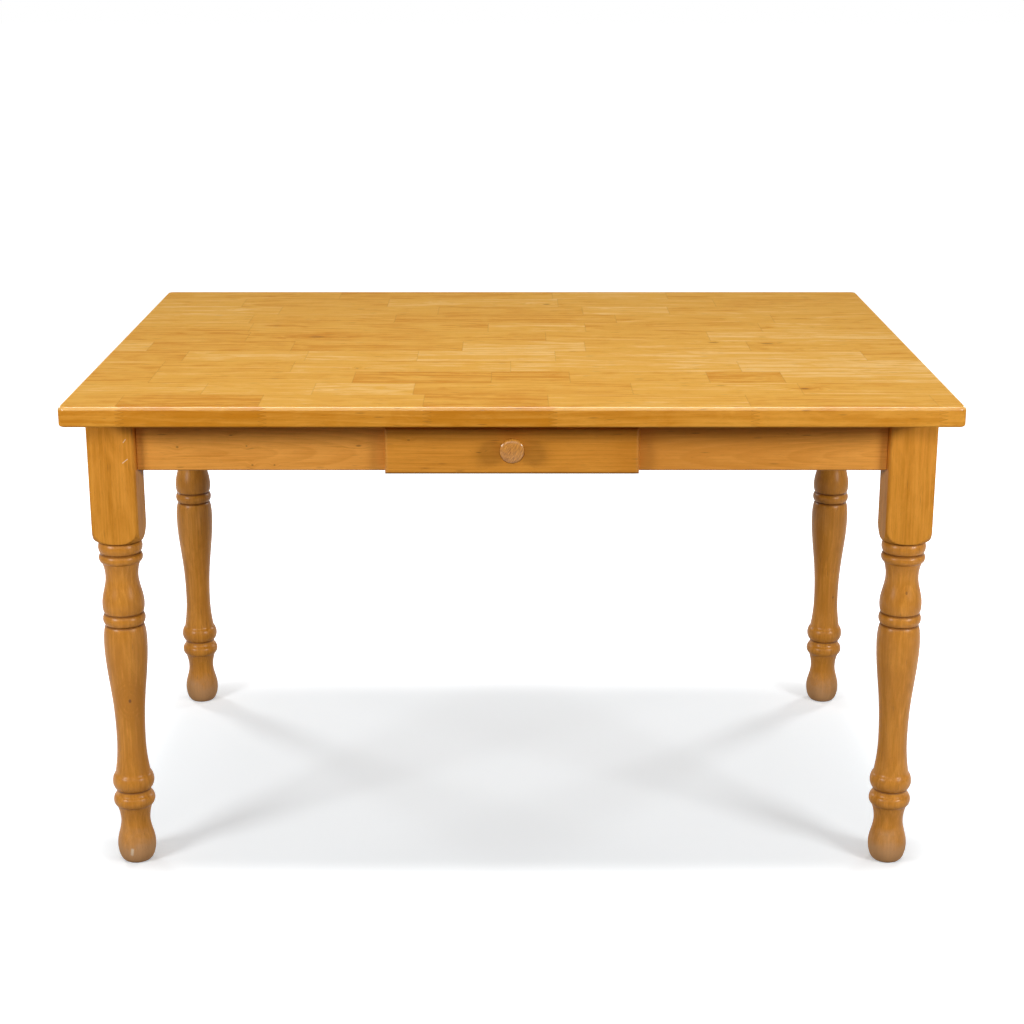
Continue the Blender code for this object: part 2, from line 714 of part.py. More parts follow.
def side_housing(end, side):
    """Make the cutter of the housing in the drawer front that takes a drawer side."""
    inner = side * (BOX_INNER_HALF - FIT_GAP)
    outer = side * (BOX_HALF + FIT_GAP)
    return cutter(
        "side_housing_" + end,
        (min(inner, outer), BOX_FRONT_Y - HOUSING_DEPTH, BOX_BOTTOM - FIT_GAP),
        (max(inner, outer), BOX_FRONT_Y + CUT_MARGIN, BOX_TOP + FIT_GAP),
    )


def make_drawer_front():
    """Make the drawer front, which overlaps the window and holds the box and the knob."""
    half = DRAWER_FRONT_WIDTH / 2
    front = board("drawer_front", (-half, FRONT_FACE_Y, FRONT_BOTTOM), (half, BOX_FRONT_Y, FRONT_TOP))
    round_edges(front, bounds_face((0, -1, 0)), DRAWER_FRONT_ROUND, 3)
    for end, side in (("left", -1), ("right", 1)):
        combine(front, side_housing(end, side), "DIFFERENCE")
    groove = cutter(
        "front_groove",
        (-BOX_INNER_HALF, BOX_FRONT_Y - GROOVE_DEPTH, PANEL_BOTTOM - FIT_GAP),
        (BOX_INNER_HALF, BOX_FRONT_Y + CUT_MARGIN, PANEL_TOP + FIT_GAP),
    )
    combine(front, groove, "DIFFERENCE")
    radius = SCREW_RADIUS + FIT_GAP
    length = DRAWER_FRONT_THICKNESS + 2 * CUT_MARGIN
    line = [(0.0, length), (radius, length), (radius, 0.0), (0.0, 0.0)]
    hole = turned("knob_hole", line, METAL_SIDES, "cutters")
    hole.location = (0.0, BOX_FRONT_Y + CUT_MARGIN, KNOB_Z)
    hole.rotation_euler = (math.pi / 2, 0.0, 0.0)
    combine(front, hole, "DIFFERENCE")
    return finish(front, HONEY)


def make_drawer_box():
    """Make the drawer's sides, back and bottom, and return them."""
    pieces = []
    for end, side in (("left", -1), ("right", 1)):
        inner = side * BOX_INNER_HALF
        outer = side * BOX_HALF
        piece = board(
            "drawer_side_" + end,
            (min(inner, outer), BOX_FRONT_Y - HOUSING_DEPTH + FIT_GAP, BOX_BOTTOM),
            (max(inner, outer), BOX_BACK_Y, BOX_TOP),
        )
        floor_edge = inner + side * GROOVE_DEPTH
        past_face = inner - side * CUT_MARGIN
        groove = cutter(
            "side_groove_" + end,
            (min(floor_edge, past_face), BOX_FRONT_Y - CUT_MARGIN, PANEL_BOTTOM - FIT_GAP),
            (max(floor_edge, past_face), BOX_BACK_Y + CUT_MARGIN, PANEL_TOP + FIT_GAP),
        )
        combine(piece, groove, "DIFFERENCE")
        pieces.append(finish(piece, PALE_WOOD))
    back = board(
        "drawer_back",
        (-BOX_INNER_HALF + FIT_GAP, BOX_BACK_Y - DRAWER_BACK_THICKNESS, PANEL_TOP + FIT_GAP),
        (BOX_INNER_HALF - FIT_GAP, BOX_BACK_Y, BOX_TOP),
    )
    pieces.append(finish(back, PALE_WOOD))
    reach = BOX_INNER_HALF + GROOVE_DEPTH - FIT_GAP
    panel_half = BOX_INNER_HALF - FIT_GAP
    bottom = board(
        "drawer_bottom",
        (-reach, BOX_FRONT_Y + FIT_GAP, PANEL_BOTTOM),
        (reach, BOX_BACK_Y, PANEL_TOP),
    )
    tongue = board(
        "panel_tongue",
        (-panel_half, BOX_FRONT_Y - GROOVE_DEPTH + FIT_GAP, PANEL_BOTTOM),
        (panel_half, BOX_FRONT_Y + CUT_MARGIN, PANEL_TOP),
        "cutters",
    )
    combine(bottom, tongue, "UNION")
    pieces.append(finish(bottom, PALE_WOOD))
    return pieces


def knob_outline():
    """Draw the knob from the crown of its dome, down its rim and stem, and into its screw bore."""
    steps = 5
    rim_height = KNOB_PROJECTION - KNOB_DOME_RISE
    points = [(0.0, KNOB_PROJECTION)]
    for step in range(1, steps + 1):
        share = step / steps
        angle = share * math.pi / 2
        points.append((KNOB_RADIUS * math.sin(angle), rim_height + KNOB_DOME_RISE * math.cos(angle)))
    under = rim_height - KNOB_STEM_HEIGHT
    for step in range(1, steps + 1):
        angle = step / steps * math.pi / 2
        radius = KNOB_STEM_RADIUS + (KNOB_RADIUS - KNOB_STEM_RADIUS) * math.cos(angle)
        points.append((radius, rim_height - (rim_height - under) * math.sin(angle)))
    for step in range(1, 4):
        share = step / 3
        radius = KNOB_STEM_RADIUS + (KNOB_BASE_RADIUS - KNOB_STEM_RADIUS) * share ** 2
        points.append((radius, under * (1 - share)))
    bore = SCREW_RADIUS + FIT_GAP
    points.append((bore, 0.0))
    points.append((bore, KNOB_BORE_DEPTH))
    points.append((0.0, KNOB_BORE_DEPTH))
    return points


def make_knob():
    """Make the mushroom knob and the screw that holds it from inside the drawer."""
    knob = turned("drawer_knob", knob_outline(), KNOB_SIDES)
    knob.location = (0.0, FRONT_FACE_Y - FIT_GAP, KNOB_Z)
    knob.rotation_euler = (math.pi / 2, 0.0, 0.0)
    length = SCREW_HEAD_HEIGHT + FIT_GAP + DRAWER_FRONT_THICKNESS + SCREW_GRIP
    line = [
        (0.0, length),
        (SCREW_RADIUS, length),
        (SCREW_RADIUS, SCREW_HEAD_HEIGHT),
        (SCREW_HEAD_RADIUS, SCREW_HEAD_HEIGHT),
        (SCREW_HEAD_RADIUS, SCREW_HEAD_RIM),
        (SCREW_HEAD_TOP_RADIUS, 0.0),
        (0.0, 0.0),
    ]
    screw = turned("knob_screw", line, METAL_SIDES)
    screw.location = (0.0, BOX_FRONT_Y + FIT_GAP + SCREW_HEAD_HEIGHT, KNOB_Z)
    screw.rotation_euler = (math.pi / 2, 0.0, 0.0)
    finish(knob, KNOB_WOOD)
    finish(screw, STEEL)
    return [knob, screw]


def make_drawer():
    """Make the drawer's pieces and hang them from an empty on the line that it slides along."""
    slide = bpy.data.objects.new("drawer_slide", None)
    slide.location = (0.0, FRONT_FACE_Y, KNOB_Z)
    bpy.data.collections[OBJECT_NAME].objects.link(slide)
    for piece in [make_drawer_front()] + make_drawer_box() + make_knob():
        piece.location = piece.location - slide.location
        piece.parent = slide


def main():
    """Build the whole table."""
    clear_scene()
    make_top()
    make_legs()
    make_aprons()
    make_window_rails()
    make_buttons()
    make_braces()
    make_hanger_bolts()
    make_washers()
    make_wing_nuts()
    make_runners()
    make_drawer()
    bpy.context.view_layer.update()


main()
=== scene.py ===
"""Farmhouse table in lacquered wood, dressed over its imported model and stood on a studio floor."""

import math
import random

import bmesh
import bpy
from mathutils import Matrix, Vector


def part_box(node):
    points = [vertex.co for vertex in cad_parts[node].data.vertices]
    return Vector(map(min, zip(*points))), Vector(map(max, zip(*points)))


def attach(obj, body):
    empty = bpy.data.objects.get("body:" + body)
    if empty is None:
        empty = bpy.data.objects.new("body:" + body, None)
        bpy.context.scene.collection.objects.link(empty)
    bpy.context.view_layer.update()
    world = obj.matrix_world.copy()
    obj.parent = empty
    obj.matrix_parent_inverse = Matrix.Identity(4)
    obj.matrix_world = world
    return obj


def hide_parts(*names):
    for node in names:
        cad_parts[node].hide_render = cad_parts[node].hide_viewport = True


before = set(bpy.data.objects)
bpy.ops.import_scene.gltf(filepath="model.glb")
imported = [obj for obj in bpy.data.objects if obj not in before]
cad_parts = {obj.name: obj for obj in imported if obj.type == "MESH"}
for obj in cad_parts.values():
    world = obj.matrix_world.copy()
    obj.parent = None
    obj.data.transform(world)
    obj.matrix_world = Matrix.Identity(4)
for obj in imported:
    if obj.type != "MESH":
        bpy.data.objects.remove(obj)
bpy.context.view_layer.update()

bl_info = {
    "name": "Farmhouse Table",
    "version": (1, 0, 0),
    "blender": (4, 5, 0),
    "location": "View3D > Sidebar > Table",
    "description": "Dresses the farmhouse table in lacquered wood and stands it on a studio floor",
    "category": "Object",
}

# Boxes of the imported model
TOP_LOW, TOP_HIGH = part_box("table_top")
LEG_LOW, LEG_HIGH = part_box("leg_front_left")
APRON_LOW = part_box("apron_left")[0]
FRONT_LOW, FRONT_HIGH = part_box("drawer_front")
KNOB_LOW, KNOB_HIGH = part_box("drawer_knob")

# Places of the legs, and each corner's side in X and Y and its turn from the front left corner
LEG_X = -(LEG_LOW.x + LEG_HIGH.x) / 2
LEG_Y = -(LEG_LOW.y + LEG_HIGH.y) / 2
POST_HALF = (LEG_HIGH.x - LEG_LOW.x) / 2
CORNERS = (
    ("front_left", -1, -1, 0.0),
    ("front_right", 1, -1, math.pi / 2),
    ("back_right", 1, 1, math.pi),
    ("back_left", -1, 1, 3 * math.pi / 2),
)

# Leg turnings from the floor up: kind, length, radius, and the groove that a ring ends in
FOOT_PAD_RADIUS = 0.0175
VASE_LEAN = 1.22
LEG_TURNINGS = (
    ("swell", 0.0265, 0.0286),
    ("ogee", 0.0390, 0.0219),
    ("flare", 0.0250, 0.0266),
    ("ring", 0.0180, 0.0309, 0.0272),
    ("settle", 0.0080, 0.0252),
    ("ring", 0.0260, 0.0309, 0.0262),
    ("settle", 0.0525, 0.0214),
    ("vase", 0.1550, 0.0318),
    ("shoulder", 0.0285, 0.0268),
    ("ring", 0.0180, 0.0311, 0.0274),
    ("swell", 0.0137, 0.0308),
    ("ogee", 0.0428, 0.0240),
    ("flare", 0.0215, 0.0278),
    ("ring", 0.0145, 0.0320, 0.0286),
    ("ring", 0.0185, 0.0322, 0.0288),
)
RING_FULLNESS = 0.65
POMMEL_SWEEP = math.radians(75)

# Turnings that meet in a cut groove, the lower one first
GROOVED_PAIRS = {("ring", "ring"), ("ring", "swell"), ("shoulder", "ring"), ("settle", "ring")}

# Rows of glued staves from the front edge back: where each row's end joints lie along X
STAVE_ROWS = (
    (-0.536, -0.341, -0.116, 0.056, 0.332, 0.589),
    (-0.430, -0.275, -0.133, 0.176, 0.415),
    (-0.517, -0.224, -0.024, 0.090, 0.291, 0.400),
    (-0.517, -0.321, 0.004, 0.345),
    (-0.493, -0.308, -0.138, 0.072, 0.544),
    (-0.560, -0.337, -0.071, 0.120, 0.376),
    (-0.417, 0.060, 0.321),
    (-0.422, -0.033, 0.126, 0.413),
    (-0.431, -0.190, 0.180, 0.443),
    (-0.391, -0.120, 0.127, 0.274),
    (-0.463, -0.210, 0.086, 0.360),
    (-0.300, 0.078, 0.282),
)
STAVE_WIDTH = (TOP_HIGH.y - TOP_LOW.y) / len(STAVE_ROWS)

# How far the tones of the staves are drawn apart, and the few staves that stand out to the eye,
# by their row from the front edge and their place in it from the left
STAVE_TONE_SPREAD = 0.15
DARKER_STAVE = -0.24
PALER_STAVE = 0.22
STAND_OUT_STAVES = {
    (0, 1): DARKER_STAVE,
    (0, 3): DARKER_STAVE,
    (1, 2): PALER_STAVE,
    (2, 2): DARKER_STAVE,
    (2, 3): DARKER_STAVE,
    (2, 5): DARKER_STAVE,
    (4, 3): PALER_STAVE,
    (5, 3): PALER_STAVE,
}
STAVE_SEED = 11

# Knots in the top: place along X and Y, and their reach along and across the grain
TOP_KNOTS = (
    ((-0.312, 0.035), (0.020, 0.006)),
    ((0.402, -0.020), (0.016, 0.005)),
    ((0.318, -0.012), (0.012, 0.004)),
    ((0.415, -0.345), (0.010, 0.006)),
    ((-0.230, -0.205), (0.004, 0.003)),
    ((0.060, 0.330), (0.010, 0.005)),
)

# Knots and dark dashes in the front aprons and the drawer's front: place along X and Z, and their reach
FRONT_KNOTS = (
    ((-0.4780, 0.6505), (0.0030, 0.0026)),
    ((-0.4010, 0.6680), (0.0045, 0.0013)),
    ((-0.3790, 0.6520), (0.0020, 0.0017)),
    ((-0.3716, 0.6240), (0.0026, 0.0022)),
    ((-0.3400, 0.6240), (0.0022, 0.0020)),
    ((-0.2190, 0.6525), (0.0060, 0.0024)),
    ((-0.1465, 0.6657), (0.0035, 0.0015)),
    ((-0.0473, 0.6474), (0.0060, 0.0011)),
    ((0.2620, 0.6710), (0.0110, 0.0011)),
    ((0.4200, 0.6680), (0.0120, 0.0011)),
)

# Knots in the legs: place, reach, and the share of it that the dark heart takes
VASE_KNOT = ((-LEG_X + 0.006, -LEG_Y - 0.025, 0.2645), 0.0058, 0.55)
URN_KNOT = ((LEG_X + 0.0026, -LEG_Y - 0.030, 0.4335), 0.0026, 1.0)
BACK_KNOT = ((LEG_X + 0.0096, LEG_Y - 0.0215, 0.2022), 0.0026, 1.0)

# Scratches in the front left leg: start, end and half width
SCRATCHES = (
    ((-0.5521, -0.3645, 0.6605), (-0.5478, -0.3645, 0.6665), 0.0008),
    ((-0.5549, -0.3645, 0.6305), (-0.5463, -0.3645, 0.6372), 0.0008),
    ((-0.5748, -0.3600, 0.0140), (-0.5726, -0.3600, 0.0290), 0.0032),
)

# The gap that touching pieces keep, and a length beyond every edge of the table
FIT_GAP = 0.0003
FAR_AWAY = 10.0

# Camera, fitted to the photograph
CAMERA_PLACE = (0.0, -3.099, 1.3494)
CAMERA_DIP = math.radians(16.128)
SENSOR_WIDTH = 36.0

# Soft lamps of the studio: name, place, what it looks at, width, height and power
LAMPS = (
    ("lamp front left", (-2.15, -2.00, 1.36), (0.0, -0.30, 0.55), 0.8, 0.4, 37.0),
    ("lamp front right", (2.15, -2.00, 1.36), (0.0, -0.30, 0.55), 0.8, 0.4, 37.0),
    ("lamp front middle", (0.0, -2.40, 1.54), (0.0, -0.30, 0.55), 2.4, 0.4, 11.0),
    ("lamp back left", (-2.10, 1.90, 1.30), (0.0, 0.0, 0.3), 0.5, 0.4, 20.0),
    ("lamp back right", (2.10, 1.90, 1.30), (0.0, 0.0, 0.3), 0.5, 0.4, 20.0),
    ("lamp overhead", (0.0, -0.28, 2.60), (0.0, -0.28, 0.0), 2.2, 0.5, 24.0),
)


def metres(name, description, default):
    """Describe a length that the user can change."""
    return bpy.props.FloatProperty(
        name=name, description=description, default=default, min=0.0, unit="LENGTH", precision=4
    )


def share(name, description, default):
    """Describe a plain factor that the user can change."""
    return bpy.props.FloatProperty(name=name, description=description, default=default, min=0.0, soft_max=2.0)


def colour(name, description, default):
    """Describe a colour that the user can change."""
    return bpy.props.FloatVectorProperty(
        name=name, description=description, default=default, size=3, min=0.0, max=1.0, subtype="COLOR"
    )


class TableSizes(bpy.types.PropertyGroup):
    """Sizes of the edges, joints, knob, fixings, lights and lens."""

    top_corner: metres("Top Corner", "Radius of the top's corners seen from above", 0.011)
    top_upper_round: metres("Top Upper Round", "Radius along the top's upper rim", 0.006)
    top_lower_round: metres("Top Lower Round", "Radius along the top's lower rim", 0.0035)
    finger_length: metres("Finger Length", "Length of the fingers in the stave joints", 0.012)
    finger_pitch: metres("Finger Pitch", "Height of one finger in the stave joints", 0.005)
    post_arris: metres("Post Arris", "Rounding of the legs' square posts", 0.005)
    pommel_rise: metres("Pommel Rise", "Height of the rounded shoulder under a post", 0.020)
    post_flat: metres("Post Flat", "Depth of the flat that a corner brace bears on", 0.006)
    pommel_edge: metres("Pommel Edge", "Softness of the edge between shoulder and post", 0.0008)
    board_arris: metres("Board Arris", "Rounding of the aprons' edges", 0.0012)
    frame_arris: metres("Frame Arris", "Rounding of the inner frame's edges", 0.0008)
    front_round: metres("Drawer Front Round", "Rounding of the drawer front's edges", 0.005)
    knob_radius: metres("Knob Radius", "Widest radius of the knob", 0.0183)
    knob_dome: metres("Knob Dome", "Rise of the knob's crown above its rim", 0.005)
    knob_stem: metres("Knob Stem", "Radius of the knob's stem", 0.0082)
    knob_hollow: metres("Knob Hollow", "Height of the curve from the knob's rim to its stem", 0.0085)
    knob_base: metres("Knob Base", "Radius of the knob where it meets the drawer", 0.0115)
    bolt_radius: metres("Bolt Radius", "Outer radius of the hanger bolts' thread", 0.004)
    thread_pitch: metres("Thread Pitch", "Distance between the turns of the bolts' thread", 0.00125)
    thread_depth: metres("Thread Depth", "Depth of the bolts' thread", 0.0006)
    washer_radius: metres("Washer Radius", "Outer radius of the washers", 0.012)
    nut_hub: metres("Nut Hub", "Radius of the wing nuts' hubs", 0.007)
    nut_span: metres("Nut Span", "Width of a wing nut over its wings", 0.035)
    nut_wing: metres("Nut Wing", "Thickness of a wing nut's wings", 0.003)
    screw_head: metres("Screw Head", "Radius of the wood screws' heads", 0.0042)
    screw_rise: metres("Screw Rise", "Height of the wood screws' heads", 0.0016)
    screw_slot: metres("Screw Slot", "Width of the cross in the screw heads", 0.0011)
    fill_light: share("Fill Light", "Strength of the light from all round", 0.08)
    lamp_light: share("Lamp Light", "Strength of the soft lamps", 1.0)
    floor_lift: share("Floor Lift", "How much of the floor's white shows without light", 0.305)
    floor_lean: share("Floor Lean", "How much more of that white shows for each metre towards the back", 0.18)
    floor_fade: metres("Floor Fade", "Distance over which the shadow fades into the white floor", 0.22)
    lens: bpy.props.FloatProperty(
        name="Lens", description="Focal length of the camera in millimetres", default=69.84, min=1.0
    )


class TableColours(bpy.types.PropertyGroup):
    """Colours of the woods, the metal and the floor."""

    top_pale: colour("Top Pale", "Palest wood of the top", (0.885, 0.545, 0.185))
    top_middle: colour("Top Middle", "Most of the top's wood", (0.775, 0.400, 0.067))
    top_dark: colour("Top Dark", "Darkest wood of the top", (0.640, 0.260, 0.028))
    edge_pale: colour("Edge Pale", "Paler wood along the top's edge", (0.80, 0.362, 0.052))
    edge_dark: colour("Edge Dark", "Darker wood along the top's edge", (0.585, 0.214, 0.014))
    leg_pale: colour("Leg Pale", "Paler wood of the legs", (0.76, 0.318, 0.044))
    leg_dark: colour("Leg Dark", "Darker wood of the legs", (0.53, 0.198, 0.015))
    apron_pale: colour("Apron Pale", "Paler wood of the aprons", (0.83, 0.370, 0.072))
    apron_dark: colour("Apron Dark", "Darker wood of the aprons", (0.63, 0.250, 0.037))
    front_pale: colour("Drawer Front Pale", "Paler wood of the drawer front", (0.72, 0.300, 0.041))
    front_dark: colour("Drawer Front Dark", "Darker wood of the drawer front", (0.56, 0.210, 0.021))
    knob_pale: colour("Knob Pale", "Paler wood of the knob", (0.71, 0.310, 0.040))
    knob_dark: colour("Knob Dark", "Darker pores of the knob", (0.33, 0.105, 0.010))
    # The pore colour also paints the shade in the legs' grooves and along the boards' low edges.
    pore: colour("Pore", "Dark pores, flecks and glue lines", (0.17, 0.062, 0.014))
    worn_foot: colour("Worn Foot", "Feet where the lacquer has worn", (0.62, 0.36, 0.19))
    scrape: colour("Scrape", "Wood laid bare by scrapes", (0.84, 0.67, 0.47))
    bare_pale: colour("Bare Pale", "Paler wood of the unlacquered frame", (0.68, 0.47, 0.26))
    bare_dark: colour("Bare Dark", "Darker wood of the unlacquered frame", (0.52, 0.32, 0.15))
    panel_pale: colour("Panel Pale", "Thin panel in the drawer", (0.70, 0.52, 0.32))
    steel: colour("Steel", "Zinc plate on the bolts, nuts and screws", (0.62, 0.61, 0.59))
    floor: colour("Floor", "Studio floor", (0.90, 0.945, 0.975))
    floor_bounce: colour("Floor Bounce", "Studio floor as the table sees it", (0.17, 0.17, 0.17))


class Signal:
    """One number in a node tree: Python's arithmetic on it adds Math nodes."""

    def __init__(self, nodes, socket):
        self.nodes = nodes
        self.socket = socket

    def __add__(self, other):
        return self.nodes.math("ADD", self, other)

    def __radd__(self, other):
        return self.nodes.math("ADD", other, self)

    def __sub__(self, other):
        return self.nodes.math("SUBTRACT", self, other)

    def __rsub__(self, other):
        return self.nodes.math("SUBTRACT", other, self)

    def __mul__(self, other):
        return self.nodes.math("MULTIPLY", self, other)

    def __truediv__(self, other):
        return self.nodes.math("DIVIDE", self, other)

    def __abs__(self):
        return self.nodes.math("ABSOLUTE", self)


class Nodes:
    """A node tree under construction."""

    def __init__(self, tree):
        self.tree = tree

    def node(self, kind, settings=None, sockets=None):
        """Add a node, then set its settings, then fill its sockets with values or links."""
        node = self.tree.nodes.new(kind)
        for name, value in (settings or {}).items():
            setattr(node, name, value)
        for key, value in (sockets or {}).items():
            self.fill(node.inputs[key], value)
        return node

    def fill(self, socket, value):
        """Link a socket to a signal or another socket, or set it to a plain value."""
        if isinstance(value, Signal):
            value = value.socket
        if isinstance(value, bpy.types.NodeSocket):
            self.tree.links.new(value, socket)
        else:
            socket.default_value = value

    def math(self, operation, *values):
        """Add a Math node."""
        sockets = dict(enumerate(values))
        return Signal(self, self.node("ShaderNodeMath", {"operation": operation}, sockets).outputs[0])

    def ramp(self, value, low, high):
        """Rise smoothly from 0 at the low value to 1 at the high one, or fall where high is under low."""
        node = self.node(
            "ShaderNodeMapRange",
            {"interpolation_type": "SMOOTHSTEP"},
            {"Value": value, "From Min": low, "From Max": high},
        )
        return Signal(self, node.outputs["Result"])

    def mix(self, amount, first, second):
        """Mix two colours, each of them a socket or three plain numbers."""
        node = self.node("ShaderNodeMix", {"data_type": "RGBA"}, {0: amount})
        for key, end in ((6, first), (7, second)):
            self.fill(node.inputs[key], end if isinstance(end, bpy.types.NodeSocket) else (*end, 1.0))
        return node.outputs[2]

    def shade(self, value, dark, pale):
        """Choose a colour between two by a value from 0 to 1."""
        return self.mix(self.ramp(value, 0.0, 1.0), dark, pale)

    def parts(self, vector):
        """Split a vector into its three signals."""
        node = self.node("ShaderNodeSeparateXYZ", None, {0: vector})
        return [Signal(self, socket) for socket in node.outputs]

    def vector(self, *values):
        """Join three signals into a vector."""
        return self.node("ShaderNodeCombineXYZ", None, dict(enumerate(values))).outputs[0]

    def scaled(self, vector, factors):
        """Stretch a vector by a factor along each axis."""
        sockets = {0: vector, 1: factors}
        return self.node("ShaderNodeVectorMath", {"operation": "MULTIPLY"}, sockets).outputs[0]

    def shifted(self, vector, amount):
        """Move a vector by another one."""
        return self.node("ShaderNodeVectorMath", {"operation": "ADD"}, {0: vector, 1: amount}).outputs[0]

    def noise(self, vector, factors, detail, roughness=0.5, twist=0.0):
        """Sample noise on a vector that is first stretched by the factors, and twist it into wisps."""
        sockets = {
            "Vector": self.scaled(vector, factors),
            "Scale": 1.0,
            "Detail": detail,
            "Roughness": roughness,
            "Distortion": twist,
        }
        return Signal(self, self.node("ShaderNodeTexNoise", None, sockets).outputs[0])

    def attribute(self, name):
        """Read a vector that the mesh holds on its faces."""
        return self.node("ShaderNodeAttribute", {"attribute_name": name}).outputs["Vector"]


class Finish(Nodes):
    """A material whose Principled shader is fed by its nodes."""

    def __init__(self, name, specular=0.5):
        self.material = bpy.data.materials.new(name)
        self.material.use_nodes = True
        super().__init__(self.material.node_tree)
        self.shader = self.tree.nodes["Principled BSDF"]
        self.feed(Specular_IOR_Level=specular)
        self.place = self.node("ShaderNodeTexCoord").outputs["Object"]

    def feed(self, **sockets):
        """Feed the shader's named sockets, with underscores for the spaces in their names."""
        for name, value in sockets.items():
            self.fill(self.shader.inputs[name.replace("_", " ")], value)

    def bump(self, height, distance, strength):
        """Raise the surface by a signal times a distance."""
        sockets = {"Height": height, "Distance": distance, "Strength": strength}
        self.feed(Normal=self.node("ShaderNodeBump", None, sockets).outputs[0])


class Wood(Finish):
    """A wood whose grain runs along one axis: its own place has the grain along X, in metres."""

    def __init__(self, name, axis, specular):
        super().__init__(name, specular)
        x, y, z = self.parts(self.place)
        turned = {"X": (x, y, z), "Y": (y, x, z), "Z": (z, x, y)}[axis]
        self.grain = self.vector(*turned)

    def rings(self, across, depth, width, wander):
        """Draw growth rings about a pith line at across 0 and depth 0: each darkens slowly, then clears."""
        bend = self.noise(self.grain, (1.9, 7.0, 7.0), detail=3.0) - 0.5
        curl = self.noise(self.shifted(self.grain, (3.7, 1.9, 5.3)), (1.5, 6.0, 6.0), detail=3.0) - 0.5
        side = across + bend * wander
        down = depth + curl * wander
        distance = self.math("SQRT", side * side + down * down)
        growth = self.math("FRACT", distance / width)
        return growth * self.ramp(growth, 1.0, 0.86)

    def fibres(self, fineness=1.0):
        """Draw the fine long streaks of the fibres."""
        factors = (11.0 * fineness, 330.0 * fineness, 330.0 * fineness)
        return self.noise(self.grain, factors, detail=4.0, roughness=0.62)

    def veins(self):
        """Draw thin dark streaks with pointed ends as a mask."""
        return self.ramp(self.noise(self.grain, (6.0, 310.0, 310.0), detail=2.0), 0.60, 0.72)

    def bands(self):
        """Draw broad soft bands along the grain."""
        return self.noise(self.grain, (1.6, 30.0, 30.0), detail=3.0, roughness=0.55)

    def clouds(self):
        """Draw the wispy mottle that shows where the grain dips in and out of the face."""
        return self.noise(self.grain, (15.0, 42.0, 42.0), detail=4.0, roughness=0.6, twist=0.9)

    def pores(self):
        """Draw short fine pores as a mask."""
        return self.ramp(self.noise(self.grain, (95.0, 1900.0, 1900.0), detail=1.0), 0.60, 0.74)

    def flecks(self, density):
        """Draw sparse dark dashes as a mask: the density is the share of cells that hold one."""
        sockets = {"Vector": self.scaled(self.grain, (40.0, 330.0, 330.0)), "Scale": 1.0}
        cells = self.node("ShaderNodeTexVoronoi", None, sockets)
        near = self.ramp(Signal(self, cells.outputs["Distance"]), 0.42, 0.10)
        pick = self.parts(cells.outputs["Color"])[0]
        return near * self.math("LESS_THAN", pick, density)

    def blend(self, value, dark, middle, pale):
        """Choose a colour from three by a value from 0 to 1."""
        lower = self.mix(self.ramp(value, 0.0, 0.5), dark, middle)
        return self.mix(self.ramp(value, 0.5, 1.0), lower, pale)

    def darkest(self, first, *others):
        """Give the strongest of several masks."""
        for other in others:
            first = self.math("MAXIMUM", first, other)
        return first


def swirl(wood, across, along, centre, size):
    """Draw a knot on a face: how much the grain swells round it, and its dark heart."""
    over = (across - centre[0]) / size[0]
    up = (along - centre[1]) / size[1]
    away = wood.math("SQRT", over * over + up * up)
    return wood.ramp(away, 4.5, 0.0), wood.ramp(away, 0.9, 0.3)


def swirls(wood, across, along, knots):
    """Draw several knots on a face: how much the grain swells round them, and their dark hearts."""
    drawn = [swirl(wood, across, along, centre, size) for centre, size in knots]
    return sum(swell for swell, heart in drawn), sum(heart for swell, heart in drawn)


